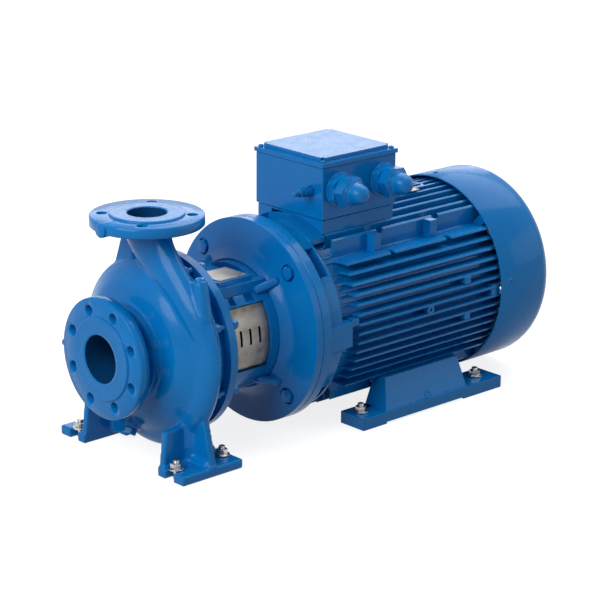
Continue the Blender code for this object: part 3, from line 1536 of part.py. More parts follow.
def make_glands(start, end, root):
    """Two gland plugs: washer, two hexagons and a domed cap, standing out to -Y."""
    z = BOX_BOTTOM + GLAND_HEIGHT
    face = -BOX_HALF_WIDTH - GAP
    wall = -BOX_HALF_WIDTH
    middle = (start + end) / 2 + GLAND_OFFSET
    dome = GLAND_DOME_RADIUS
    tip = wall - GLAND_REACH
    dome_profile = [(wall - GLAND_HEX_REACH, 0.0), (wall - GLAND_HEX_REACH, dome)]
    for step in range(4):
        swing = math.pi / 2 * step / 4
        dome_profile.append((tip + dome * (1 - math.sin(swing)), dome * math.cos(swing)))
    dome_profile.append((tip, 0.0))
    for number, x in enumerate((middle - GLAND_SPACING / 2, middle + GLAND_SPACING / 2), 1):
        washer_end = face - GLAND_WASHER_THICKNESS
        gland = rod((x, face, z), (x, washer_end, z), GLAND_WASHER_RADIUS, sides=20)
        first = rod(
            (x, washer_end + GAP, z), (x, wall - GLAND_HEX_REACH, z), GLAND_HEX_RADIUS, sides=6
        )
        second = rod(
            (x, wall - GLAND_HEX_REACH + GAP, z), (x, wall - GLAND_NUT_REACH, z),
            GLAND_NUT_RADIUS, sides=6, turn=math.pi / 7,
        )
        cap = side_lathe(x, z, dome_profile, steps=16)
        join(gland, first, second, cap)
        finish(gland, f"cable_gland_{number}", MOTOR_PAINT, root)


def make_terminal_box(root):
    """Riser on the frame, hollow box, lid, two gland plugs and the earth bolt."""
    start = MOTOR_FACE + BOX_FROM_FLANGE
    end = start + BOX_LENGTH
    wide = BOX_HALF_WIDTH
    wall = BOX_WALL
    make_box_base(start, end, root)
    body = box((start, -wide, BOX_BOTTOM + GAP), (end, wide, BOX_TOP))
    room = box(
        (start + wall, -wide + wall, BOX_BOTTOM + wall), (end - wall, wide - wall, BOX_TOP + wall)
    )
    cut(body, room)
    finish(body, "terminal_box", MOTOR_PAINT, root)
    make_lid(start, end, root)
    make_glands(start, end, root)
    z = BOX_BOTTOM + EARTH_STUD_HEIGHT
    stud = rod(
        (start - GAP, EARTH_STUD_Y, z), (start - EARTH_STUD_LENGTH, EARTH_STUD_Y, z),
        EARTH_STUD_DIAMETER / 2, sides=12,
    )
    nut = rod(
        (start - GAP, EARTH_STUD_Y, z), (start - EARTH_STUD_DIAMETER, EARTH_STUD_Y, z),
        EARTH_NUT_RADIUS, sides=6,
    )
    join(nut, stud)
    finish(nut, "earth_bolt", ZINC, root)


def main():
    """Build the pump set."""
    clear_scene()
    root = bpy.data.objects.new("pump_set", None)
    bpy.context.scene.collection.objects.link(root)
    root.location.x = -OVERALL_LENGTH / 2
    make_casing(root)
    make_cover(root)
    make_impeller(root)
    make_lantern(root)
    make_casing_bolts(root)
    make_foot_bolts(root)
    make_flange_bolts(root)
    make_endshield(root)
    make_frame(root)
    make_motor_feet(root)
    make_cowl(root)
    make_fan(root)
    make_terminal_box(root)


main()
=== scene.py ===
"""Looks for a close-coupled end-suction pump with a flanged, footed motor."""

import json
import math

import bmesh
import bpy
from mathutils import Matrix, Vector


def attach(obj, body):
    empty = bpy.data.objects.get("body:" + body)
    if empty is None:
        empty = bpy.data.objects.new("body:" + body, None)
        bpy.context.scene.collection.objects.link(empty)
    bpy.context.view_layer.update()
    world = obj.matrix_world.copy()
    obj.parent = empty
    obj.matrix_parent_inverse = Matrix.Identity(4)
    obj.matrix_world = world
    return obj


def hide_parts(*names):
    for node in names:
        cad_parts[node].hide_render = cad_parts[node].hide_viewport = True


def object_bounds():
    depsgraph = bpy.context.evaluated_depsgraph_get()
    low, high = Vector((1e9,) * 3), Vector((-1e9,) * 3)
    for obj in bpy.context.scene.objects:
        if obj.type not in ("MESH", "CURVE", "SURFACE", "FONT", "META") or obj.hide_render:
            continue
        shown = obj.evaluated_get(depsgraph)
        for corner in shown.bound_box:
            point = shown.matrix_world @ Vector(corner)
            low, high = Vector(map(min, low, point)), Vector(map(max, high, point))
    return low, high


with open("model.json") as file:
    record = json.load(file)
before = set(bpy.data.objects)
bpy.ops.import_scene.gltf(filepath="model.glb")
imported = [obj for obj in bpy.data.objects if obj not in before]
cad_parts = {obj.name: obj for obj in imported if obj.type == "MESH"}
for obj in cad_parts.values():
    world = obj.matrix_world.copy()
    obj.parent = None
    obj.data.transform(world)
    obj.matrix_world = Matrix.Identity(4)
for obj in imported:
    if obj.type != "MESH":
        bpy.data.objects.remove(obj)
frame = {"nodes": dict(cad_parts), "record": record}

CAD_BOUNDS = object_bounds()


# ---- camera

CAMERA_AZIMUTH = math.radians(-42.6422)
CAMERA_ELEVATION = math.radians(17.4320)
CAMERA_ROLL = math.radians(0.3649)
CAMERA_FROM_SUCTION_FACE = Vector((-2.14283, -2.79536, 1.38267))
FOCAL_SHARE = 2333.2 / 600.0
SENSOR_WIDTH = 36.0


def make_camera():
    """The photograph's view."""
    flat = math.cos(CAMERA_ELEVATION)
    back = Vector((
        math.sin(CAMERA_AZIMUTH) * flat,
        -math.cos(CAMERA_AZIMUTH) * flat,
        math.sin(CAMERA_ELEVATION),
    ))
    right = Vector((math.cos(CAMERA_AZIMUTH), math.sin(CAMERA_AZIMUTH), 0.0))
    up = back.cross(right)
    turned_right = math.cos(CAMERA_ROLL) * right + math.sin(CAMERA_ROLL) * up
    turned_up = -math.sin(CAMERA_ROLL) * right + math.cos(CAMERA_ROLL) * up
    lens = bpy.data.cameras.new("photo_camera")
    lens.sensor_width = SENSOR_WIDTH
    lens.lens = SENSOR_WIDTH * FOCAL_SHARE
    lens.clip_end = 50.0
    camera = bpy.data.objects.new("photo_camera", lens)
    turn = Matrix((turned_right, turned_up, back)).transposed().to_4x4()
    place = CAMERA_FROM_SUCTION_FACE + Vector((CAD_BOUNDS[0][0], 0.0, 0.0))
    camera.matrix_world = Matrix.Translation(place) @ turn
    bpy.context.scene.collection.objects.link(camera)
    bpy.context.scene.camera = camera


# ---- shader helpers

def node(tree, kind, **values):
    """Add a shader node and set its properties, or sockets with _ for a space, by name."""
    made = tree.nodes.new(kind)
    for name, value in values.items():
        socket = name.replace("_", " ")
        if socket in made.inputs:
            made.inputs[socket].default_value = value
        else:
            setattr(made, name, value)
    return made


def new_material(name):
    """A named material with an empty node tree and its output."""
    made = bpy.data.materials.new(name)
    made.use_nodes = True
    tree = made.node_tree
    tree.nodes.clear()
    return made, tree, node(tree, "ShaderNodeOutputMaterial")


def link(tree, source, socket):
    """Feed a node's output into a socket."""
    tree.links.new(source, socket)


def principled(tree, output, **values):
    """The Principled shader of a material, linked to its output."""
    shader = node(tree, "ShaderNodeBsdfPrincipled", **values)
    link(tree, shader.outputs["BSDF"], output.inputs["Surface"])
    return shader


def noise(tree, coords, scale, detail=2.0):
    """A noise texture on the part's own coordinates, in features per metre."""
    texture = node(tree, "ShaderNodeTexNoise", Scale=scale, Detail=detail)
    link(tree, coords.outputs["Object"], texture.inputs["Vector"])
    return texture.outputs["Fac"]


def remap(tree, source, low, high, from_low=0.3, from_high=0.7):
    """Map a texture's value to a range."""
    made = node(
        tree, "ShaderNodeMapRange", From_Min=from_low, From_Max=from_high, To_Min=low, To_Max=high
    )
    link(tree, source, made.inputs["Value"])
    return made.outputs["Result"]


def blend_colours(tree, share, first, second):
    """Mix two colours by a share."""
    made = node(tree, "ShaderNodeMix", data_type="RGBA")
    link(tree, share, made.inputs[0])
    made.inputs[6].default_value = (*first, 1.0)
    made.inputs[7].default_value = (*second, 1.0)
    return made.outputs[2]


def bump(tree, height, strength, distance, before):
    """A bump node fed by a height, on top of the normal before it."""
    made = node(tree, "ShaderNodeBump", Strength=strength, Distance=distance)
    link(tree, height, made.inputs["Height"])
    link(tree, before, made.inputs["Normal"])
    return made.outputs["Normal"]


# ---- materials

COAT_WEIGHT = 0.16
COAT_ROUGHNESS = 0.09
SPECULAR_LEVEL = 0.09
PATCHES_PER_METRE = 7.0
MOTTLE_PER_METRE = 60.0
WAVES_PER_METRE = 30.0
WAVE_DEPTH = 0.0010
PEEL_DEPTH = 0.00016
PAINT_EDGE = 0.0012
METAL_EDGE = 0.0005
EDGE_SAMPLES = 4


def soft_edges(tree, radius):
    """A normal that rounds hard edges in the shading."""
    return node(tree, "ShaderNodeBevel", samples=EDGE_SAMPLES, Radius=radius).outputs[0]


def paint(name, deep, light, roughness, grain, relief):
    """Gloss enamel over cast or pressed metal; the relief scales its waves and peel."""
    made, tree, output = new_material(name)
    shader = principled(
        tree, output, Roughness=roughness, Coat_Weight=COAT_WEIGHT,
        Coat_Roughness=COAT_ROUGHNESS, Specular_IOR_Level=SPECULAR_LEVEL,
    )
    coords = node(tree, "ShaderNodeTexCoord")
    share = remap(tree, noise(tree, coords, PATCHES_PER_METRE, 3.0), 0.0, 1.0)
    link(tree, blend_colours(tree, share, deep, light), shader.inputs["Base Color"])
    mottle = noise(tree, coords, MOTTLE_PER_METRE, 3.0)
    rough = remap(tree, mottle, roughness - 0.05, roughness + 0.07)
    link(tree, rough, shader.inputs["Roughness"])
    swell = noise(tree, coords, WAVES_PER_METRE)
    waves = bump(tree, swell, 0.30 * relief, WAVE_DEPTH, soft_edges(tree, PAINT_EDGE))
    peel = bump(tree, noise(tree, coords, grain, 3.0), 0.35 * relief, PEEL_DEPTH, waves)
    link(tree, peel, shader.inputs["Normal"])
    link(tree, waves, shader.inputs["Coat Normal"])
    return made


def bright_metal(name, dark, pale, roughness, scale, depth):
    """Zinc plate, stainless or machined steel."""
    made, tree, output = new_material(name)
    shader = principled(tree, output, Roughness=roughness, Metallic=1.0)
    coords = node(tree, "ShaderNodeTexCoord")
    patches = noise(tree, coords, scale, 4.0)
    share = remap(tree, patches, 0.0, 1.0)
    link(tree, blend_colours(tree, share, dark, pale), shader.inputs["Base Color"])
    rough = remap(tree, patches, roughness - 0.08, roughness + 0.10)
    link(tree, rough, shader.inputs["Roughness"])
    fine = bump(tree, noise(tree, coords, scale * 8), 0.2, depth, soft_edges(tree, METAL_EDGE))
    link(tree, fine, shader.inputs["Normal"])
    return made


# Deep and light colour, roughness, grain per metre, and how much relief the skin has.
PAINTS = {
    "blue_paint": ((0.0005, 0.162, 0.480), (0.001, 0.190, 0.540), 0.25, 520.0, 1.0),
    "motor_paint": ((0.0005, 0.158, 0.465), (0.001, 0.184, 0.520), 0.24, 700.0, 0.35),
    # Painted shade: a darker blue for the liners in the bores, standing in for the shade that falls
    # inside them.
    "bore_painted_shade": ((0.001, 0.045, 0.150), (0.002, 0.058, 0.180), 0.42, 520.0, 1.0),
    "fan_plastic": ((0.02, 0.02, 0.022), (0.035, 0.035, 0.038), 0.45, 900.0, 0.3),
}
# Dark and pale colour, roughness, patches per metre, and the depth of the fine grain.
METALS = {
    "zinc": ((0.40, 0.39, 0.37), (0.62, 0.60, 0.57), 0.26, 90.0, 0.0001),
    "stainless": ((0.12, 0.115, 0.105), (0.27, 0.25, 0.225), 0.30, 40.0, 0.00006),
    "cast_iron": ((0.06, 0.06, 0.065), (0.16, 0.15, 0.145), 0.55, 120.0, 0.0003),
    "steel": ((0.42, 0.42, 0.43), (0.58, 0.58, 0.59), 0.30, 60.0, 0.00005),
    "nameplate": ((0.22, 0.21, 0.19), (0.34, 0.33, 0.31), 0.42, 30.0, 0.00004),
}


def make_materials():
    """Every finish by its slot name."""
    finishes = {name: paint(name, *values) for name, values in PAINTS.items()}
    finishes.update((name, bright_metal(name, *values)) for name, values in METALS.items())
    return finishes


# ---- floor, world and lamps

FLOOR_GREY = (0.38, 0.38, 0.38, 1.0)
FLOOR_HALF = 12.0
FLOOR_DROP = 0.0005
GLOW_NEAR = 0.83
GLOW_FAR = 1.0
GLOW_REACH = (0.8, 2.4)
AMBIENT = 0.22
WHITE = (1.0, 1.0, 1.0, 1.0)
SKY = (0.93, 0.96, 1.0, 1.0)
OBJECT_MIDDLE = (0.0, 0.0, 0.2)


def camera_like(tree):
    """1 for rays from the camera, a mirror or glass."""
    path = node(tree, "ShaderNodeLightPath")
    first = node(tree, "ShaderNodeMath", operation="MAXIMUM")
    second = node(tree, "ShaderNodeMath", operation="MAXIMUM")
    link(tree, path.outputs["Is Camera Ray"], first.inputs[0])
    link(tree, path.outputs["Is Glossy Ray"], first.inputs[1])
    link(tree, first.outputs[0], second.inputs[0])
    link(tree, path.outputs["Is Transmission Ray"], second.inputs[1])
    return second.outputs[0]


def make_world():
    """White where it is seen or mirrored, dimmer as a light."""
    world = bpy.data.worlds.new("studio")
    bpy.context.scene.world = world
    world.use_nodes = True
    tree = world.node_tree
    tree.nodes.clear()
    output = node(tree, "ShaderNodeOutputWorld")
    seen = node(tree, "ShaderNodeBackground", Color=WHITE, Strength=1.0)
    light = node(tree, "ShaderNodeBackground", Color=SKY, Strength=AMBIENT)
    mix = node(tree, "ShaderNodeMixShader")
    link(tree, camera_like(tree), mix.inputs[0])
    link(tree, light.outputs[0], mix.inputs[1])
    link(tree, seen.outputs[0], mix.inputs[2])
    link(tree, mix.outputs[0], output.inputs["Surface"])


def make_floor():
    """A floor that keeps a soft shadow and glows to white where it is seen, more so far away."""
    made, tree, output = new_material("studio_floor")
    diffuse = node(tree, "ShaderNodeBsdfDiffuse", Color=FLOOR_GREY)
    glow = node(tree, "ShaderNodeEmission", Color=WHITE)
    strength = node(tree, "ShaderNodeMath", operation="MULTIPLY")
    coords = node(tree, "ShaderNodeTexCoord")
    far = node(tree, "ShaderNodeVectorMath", operation="LENGTH")
    link(tree, coords.outputs["Object"], far.inputs[0])
    growing = remap(tree, far.outputs["Value"], GLOW_NEAR, GLOW_FAR, *GLOW_REACH)
    link(tree, growing, strength.inputs[1])
    link(tree, camera_like(tree), strength.inputs[0])
    link(tree, strength.outputs[0], glow.inputs["Strength"])
    added = node(tree, "ShaderNodeAddShader")
    link(tree, diffuse.outputs[0], added.inputs[0])
    link(tree, glow.outputs[0], added.inputs[1])
    link(tree, added.outputs[0], output.inputs["Surface"])
    shape = bmesh.new()
    bmesh.ops.create_grid(shape, x_segments=1, y_segments=1, size=FLOOR_HALF)
    floor = to_object(shape)
    floor.name = floor.data.name = "studio_floor"
    floor.data.materials.append(made)
    floor.location.z = CAD_BOUNDS[0][2] - FLOOR_DROP


def make_lamp(name, place, target, size, power):
    """A soft box aimed at a point."""
    lamp = bpy.data.lights.new(name, "AREA")
    lamp.shape = "RECTANGLE"
    lamp.size, lamp.size_y = size
    lamp.energy = power
    made = bpy.data.objects.new(name, lamp)
    made.location = place
    aim = Vector(target) - Vector(place)
    made.rotation_euler = aim.to_track_quat("-Z", "Y").to_euler()
    bpy.context.scene.collection.objects.link(made)


def make_lamps():
    """Plain soft studio light: place, target, size in metres and watts."""
    make_lamp("top_box", (1.2, 0.3, 2.5), OBJECT_MIDDLE, (2.6, 2.2), 52.0)
    make_lamp("left_box", (-2.6, -0.4, 1.9), OBJECT_MIDDLE, (2.0, 1.8), 64.0)
    make_lamp("right_box", (2.2, -2.4, 1.1), (0.1, 0.0, 0.2), (2.4, 1.4), 10.0)
    make_lamp("rear_box", (2.0, 2.5, 1.5), (0.0, 0.0, 0.25), (2.4, 1.4), 18.0)


# ---- mesh helpers

# Lengths are in metres. Stations along the shaft are counted from the suction flange's face.
SHAFT_HEIGHT = 0.180
FRONT = CAD_BOUNDS[0][0]
GAP = 0.0003
ALONG = (1.0, 0.0, 0.0)
BACK = (-1.0, 0.0, 0.0)
UP = (0.0, 0.0, 1.0)
ROUND_STEPS = 144
WELD = 1e-6
NODE_WELD = 1e-5
SEAM_WELD = 2e-5
FLAT_DEGREES = 0.5
SHARP_DEGREES = 50.0


def to_object(shape):
    """Turn a bmesh into an object of the scene."""
    bmesh.ops.remove_doubles(shape, verts=shape.verts, dist=WELD)
    bmesh.ops.recalc_face_normals(shape, faces=shape.faces)
    mesh = bpy.data.meshes.new("piece")
    shape.to_mesh(mesh)
    shape.free()
    made = bpy.data.objects.new("piece", mesh)
    bpy.context.scene.collection.objects.link(made)
    return made


def bake(made):
    """Apply an object's modifiers."""
    graph = bpy.context.evaluated_depsgraph_get()
    mesh = bpy.data.meshes.new_from_object(made.evaluated_get(graph))
    made.modifiers.clear()
    made.data = mesh


def boolean(target, tool, operation, solver):
    """Apply a Boolean and remove the tool."""
    modifier = target.modifiers.new("boolean", "BOOLEAN")
    modifier.operation = operation
    modifier.solver = solver
    modifier.object = tool
    bake(target)
    bpy.data.objects.remove(tool, do_unlink=True)


def join(target, *tools, solver="EXACT"):
    """Union each tool to the target."""
    for tool in tools:
        boolean(target, tool, "UNION", solver)


def cut(target, *tools, solver="EXACT"):
    """Cut each tool out of the target."""
    for tool in tools:
        boolean(target, tool, "DIFFERENCE", solver)


def group(pieces):
    """Put pieces into one mesh without joining their surfaces."""
    shape = bmesh.new()
    for piece in pieces:
        shape.from_mesh(piece.data)
        bpy.data.objects.remove(piece, do_unlink=True)
    return to_object(shape)


def shaft_point(x, radius, turn):
    """A point at a radius from the shaft, turned from straight up towards +Y."""
    return Vector((x, radius * math.sin(turn), SHAFT_HEIGHT + radius * math.cos(turn)))


def shaft_turn(turn):
    """Matrix that turns what stands over the shaft's line at z = 0 to an angle round it."""
    return Matrix.Translation((0.0, 0.0, SHAFT_HEIGHT)) @ Matrix.Rotation(-turn, 4, "X")


def spin_profile(points, origin, axis, steps):
    """Turn a closed outline of points about an axis, in the same order at every run."""
    shape = bmesh.new()
    origin = Vector(origin)
    axis = Vector(axis)
    on_axis = {
        index: shape.verts.new(point) for index, point in enumerate(points)
        if (point - origin).cross(axis).length < WELD
    }
    rows = []
    for step in range(steps):
        turn = Matrix.Rotation(math.tau * step / steps, 3, axis)
        rows.append([
            on_axis.get(index) or shape.verts.new(origin + turn @ (point - origin))
            for index, point in enumerate(points)
        ])
    for row, after in zip(rows, rows[1:] + rows[:1]):
        for index in range(len(points)):
            later = (index + 1) % len(points)
            corners = []
            for corner in (row[index], row[later], after[later], after[index]):
                if corner not in corners:
                    corners.append(corner)
            if len(corners) > 2:
                shape.faces.new(corners)
    return to_object(shape)


def shaft_lathe(profile):
    """Turn a closed (station, radius) profile about the shaft."""
    points = [shaft_point(x, radius, 0.0) for x, radius in profile]
    return spin_profile(points, (0.0, 0.0, SHAFT_HEIGHT), ALONG, ROUND_STEPS)


def upright_lathe(x, profile, steps=96):
    """Turn a closed (height, radius) profile about an upright axis in the middle plane."""
    points = [Vector((x + radius, 0.0, height)) for height, radius in profile]
    return spin_profile(points, (x, 0.0, 0.0), UP, steps)


def axis_lathe(start, along, profile, steps=32):
    """Turn a (distance, radius) profile about any axis; an end off the axis is closed flat."""
    points = [Vector((radius, 0.0, distance)) for distance, radius in profile]
    if points[0].x > WELD:
        points.insert(0, Vector((0.0, 0.0, points[0].z)))
    if points[-1].x > WELD:
        points.append(Vector((0.0, 0.0, points[-1].z)))
    made = spin_profile(points, (0.0, 0.0, 0.0), UP, steps)
    aim = Vector(along).to_track_quat("Z", "Y").to_matrix().to_4x4()
    made.data.transform(Matrix.Translation(start) @ aim)
    return made


def rod(start, end, radius, end_radius=None, sides=32, turn=0.0):
    """A round or many-sided bar, straight or tapered, between two points."""
    start = Vector(start)
    end = Vector(end)
    along = end - start
    shape = bmesh.new()
    place = Matrix.Translation((start + end) / 2)
    aim = along.to_track_quat("Z", "Y").to_matrix().to_4x4()
    bmesh.ops.create_cone(
        shape, cap_ends=True, segments=sides, radius1=radius,
        radius2=radius if end_radius is None else end_radius,
        depth=along.length, matrix=place @ aim @ Matrix.Rotation(turn, 4, "Z"),
    )
    return to_object(shape)


def box(low, high):
    """An upright block between two corners."""
    low = Vector(low)
    high = Vector(high)
    shape = bmesh.new()
    place = Matrix.Translation((low + high) / 2) @ Matrix.Diagonal((*(high - low), 1.0))
    bmesh.ops.create_cube(shape, size=1.0, matrix=place)
    return to_object(shape)


def side_box(side, low, high):
    """A block given on the +Y side and placed on either side."""
    low_y, high_y = sorted((side * low[1], side * high[1]))
    return box((low[0], low_y, low[2]), (high[0], high_y, high[2]))


def extrude_outline(points, travel):
    """Extrude a closed outline of points by a vector."""
    points = [Vector(point) for point in points]
    return loft([points, [point + Vector(travel) for point in points]], closed=False)


def cross_prism(outline, start, length):
    """Extrude a (y, z) outline along the shaft's direction."""
    return extrude_outline([(start, y, z) for y, z in outline], (length, 0.0, 0.0))


def side_prism(outline, start, length):
    """Extrude an (x, z) outline along Y."""
    return extrude_outline([(x, start, z) for x, z in outline], (0.0, length, 0.0))


def loft(rings, closed):
    """Skin rings of equally many points, as a ring of rings or with capped ends."""
    shape = bmesh.new()
    rows = [[shape.verts.new(point) for point in ring] for ring in rings]
    following = rows[1:] + rows[:1] if closed else rows[1:]
    for row, after in zip(rows, following):
        for index in range(len(row)):
            later = (index + 1) % len(row)
            shape.faces.new((row[index], row[later], after[later], after[index]))
    if not closed:
        shape.faces.new(rows[0])
        shape.faces.new(list(reversed(rows[-1])))
    return to_object(shape)


def turns_of(count, first=0.0):
    """Angles of equally spaced things round an axis."""
    return [first + math.tau * index / count for index in range(count)]


def smooth_path(points, steps):
    """Points on a Catmull-Rom curve through the given points."""
    made = []
    count = len(points)
    for index in range(count - 1):
        near = [points[min(max(index + offset, 0), count - 1)] for offset in (-1, 0, 1, 2)]
        a, b, c, d = (Vector(point) for point in near)
        for step in range(steps):
            t = step / steps
            made.append(tuple(
                0.5 * (2 * b + (c - a) * t + (2 * a - 5 * b + 4 * c - d) * t * t
                       + (3 * b - a - 3 * c + d) * t * t * t)
            ))
    made.append(tuple(points[-1]))
    return made


def arc_points(centre, radius, first, last, steps):
    """(station, radius) points of an arc; angles in degrees from +x towards outwards."""
    made = []
    for step in range(steps + 1):
        swing = math.radians(first + (last - first) * step / steps)
        made.append((centre[0] + radius * math.cos(swing), centre[1] + radius * math.sin(swing)))
    return made


def tidy(made):
    """Dissolve the seams that Booleans leave in flat faces."""
    shape = bmesh.new()
    shape.from_mesh(made.data)
    bmesh.ops.remove_doubles(shape, verts=shape.verts, dist=SEAM_WELD)
    bmesh.ops.dissolve_limit(
        shape, angle_limit=math.radians(FLAT_DEGREES), verts=shape.verts, edges=shape.edges
    )
    shape.to_mesh(made.data)
    shape.free()


def finish(
    made, name, slot, nodes=(), bevel=0.0, segments=2, angle=30.0, shift=True, look=None,
):
    """Round a piece's edges, shade it smooth, and give it its name, the finish of its slot, and its
    body.

    shift moves a piece from stations to the frame. look is a finish other than the slot's own.
    """
    made.name = name
    if shift:
        made.data.transform(Matrix.Translation((FRONT, 0.0, 0.0)))
    if bevel:
        tidy(made)
        rounding = made.modifiers.new("rounding", "BEVEL")
        rounding.width = bevel
        rounding.segments = segments
        rounding.limit_method = "ANGLE"
        rounding.angle_limit = math.radians(angle)
        rounding.use_clamp_overlap = True
        bake(made)
    made.data.name = name
    made.data.shade_smooth()
    made.data.set_sharp_from_angle(angle=math.radians(SHARP_DEGREES))
    if bevel:
        weigh = made.modifiers.new("weigh", "WEIGHTED_NORMAL")
        weigh.keep_sharp = True
        bake(made)
        made.data.name = name
    made.data.materials.clear()
    made.data.materials.append(FINISHES[look or slot])
    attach(made, "root")
    if nodes:
        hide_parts(*nodes)


def finish_set(name, slot, pieces):
    """Finish the loose pieces that stand for one CAD node."""
    finish(group(pieces), name + "_set", slot, [name])


def finish_copy(node_name, name, **edges):
    """Finish a joined-up copy of a motor node's own mesh, with rounded edges."""
    shape = bmesh.new()
    shape.from_mesh(frame["nodes"][node_name].data)
    bmesh.ops.remove_doubles(shape, verts=shape.verts, dist=NODE_WELD)
    finish(to_object(shape), name, "motor_paint", [node_name], shift=False, **edges)


def remesh(made, voxel, rounds):
    """Melt a casting's forms into one skin with soft inner and outer corners."""
    skin = made.modifiers.new("skin", "REMESH")
    skin.mode = "VOXEL"
    skin.voxel_size = voxel
    skin.use_smooth_shade = True
    ease = made.modifiers.new("ease", "SMOOTH")
    ease.factor = 0.5
    ease.iterations = rounds
    bake(made)


# ---- volute casing

DISCHARGE_X = 0.100
DISCHARGE_TOP = SHAFT_HEIGHT + 0.225
CASING_WALL = 0.009
SCROLL_START = 0.147
SCROLL_END = 0.170
SCROLL_HALF = 0.021
SCROLL_BASE = 0.130
SCROLL_MIDDLE = 0.103
SUCTION_BORE = 0.080
DISCHARGE_BORE = 0.065
NECK_WALL = 0.0105
NECK_STEPS = 26
FLANGE_THICK = 0.020
BOLT_HOLE = 0.0090
SUCTION_BOLT_CIRCLE = 0.080
DISCHARGE_BOLT_CIRCLE = 0.0725
CHAMBER_BASE = 0.1195
PUMP_FOOT_TOP = 0.016
PUMP_BOLT_STATIONS = (0.0525, 0.1475)
PUMP_BOLT_SIDE = 0.1245
VENT_TOP = Vector((0.110, -0.1175, 0.3150))
DRAIN_SEAT = Vector((0.068, 0.0085, 0.046))
SKIN_VOXEL = 0.0024
SKIN_ROUNDS = 4


def scroll_radius(turn):
    """Outer radius of the scroll, growing from the top over +Y and the bottom to -Y."""
    share = (turn / math.tau) % 1.0
    growth = SCROLL_END - SCROLL_START
    if share <= 0.75:
        return SCROLL_START + growth * share / 0.75
    ease = (1.0 + math.cos((share - 0.75) / 0.25 * math.pi)) / 2
    return SCROLL_START + growth * ease


def wall_section(turn):
    """Closed (station, radius) outline of the casing wall, without the suction flange."""
    bore = SUCTION_BORE / 2
    height = scroll_radius(turn) - SCROLL_BASE
    outline = [(0.012, bore), (0.012, 0.0600), (0.0235, 0.0600)]
    throat = [(0.0260, 0.0565), (0.0305, 0.0540), (0.0380, 0.0534), (0.0455, 0.0560)]
    outline += smooth_path(throat, 3)
    outline += [(0.0475, 0.0600), (0.0500, 0.0750), (0.0535, 0.0750), (0.0541, 0.0815)]
    front = [(0.0545, 0.0822), (0.0580, 0.0860), (0.0650, 0.1120), (0.0810, 0.1360)]
    outline += smooth_path(front, 5)
    swings = [(degrees, 0.0) for degrees in range(26, 83, 8)]
    swings += [(85, 0.0), (87, 0.0013), (92, 0.0013), (94, 0.0)]
    swings += [(degrees, 0.0) for degrees in range(98, 151, 8)]
    for degrees, ridge in swings:
        swing = math.radians(degrees)
        x = SCROLL_MIDDLE - SCROLL_HALF * math.cos(swing)
        outline.append((x, SCROLL_BASE + height * math.sin(swing) + ridge))
    outline = [point for point in outline if point[0] < 0.1185]
    outline += [(0.1185, 0.1490), (0.1255, 0.1490), (0.1255, 0.1200)]
    inner_height = scroll_radius(turn) - CASING_WALL - CHAMBER_BASE
    for degrees in range(0, 181, 15):
        swing = math.radians(degrees)
        x = SCROLL_MIDDLE + (SCROLL_HALF - CASING_WALL) * math.cos(swing)
        outline.append((x, CHAMBER_BASE + inner_height * math.sin(swing)))
    back = [(0.0800, 0.1120), (0.0680, 0.0850), (0.0620, 0.0520), (0.0600, bore)]
    outline += smooth_path(back, 3)
    return outline


def neck_path(share):
    """Centre of the discharge neck at x = DISCHARGE_X, from the flange down."""
    top = Vector((0.0, DISCHARGE_TOP - 0.012))
    bottom = Vector((-(SCROLL_END - 0.030), SHAFT_HEIGHT))
    upper = top - Vector((0.0, 0.075))
    lower = bottom + Vector((0.0, 0.092))
    rest = 1.0 - share
    return (
        top * rest**3 + upper * 3 * rest**2 * share
        + lower * 3 * rest * share**2 + bottom * share**3
    )


def neck(trim, sides, last):
    """The swept body of the neck, or of its bore, which is smaller by the trim."""
    rings = []
    top_radius = DISCHARGE_BORE / 2 + NECK_WALL
    for index in range(NECK_STEPS + 1):
        share = last * index / NECK_STEPS
        centre = neck_path(share)
        ahead = (neck_path(share + 0.01) - neck_path(share - 0.01)).normalized()
        across = Vector((-ahead.y, ahead.x))
        flat = SCROLL_HALF + 0.003
        narrowing = max(0.0, 1.0 - share / 0.30)
        half_width = flat + (top_radius - flat) * narrowing**1.5 - trim
        half_depth = top_radius + (0.030 - top_radius) * share - trim
        fade = min(max((share - 0.62) / 0.38, 0.0), 1.0)
        fade = fade * fade * (3.0 - 2.0 * fade)
        half_width -= (half_width + trim) * 0.42 * fade
        half_depth -= (half_depth + trim) * 0.20 * fade
        ring = []
        for side in range(sides):
            swing = math.tau * side / sides
            offset = across * half_depth * math.sin(swing)
            x = DISCHARGE_X + half_width * math.cos(swing)
            ring.append(Vector((x, centre.x + offset.x, centre.y + offset.y)))
        rings.append(ring)
    return loft(rings, closed=False)


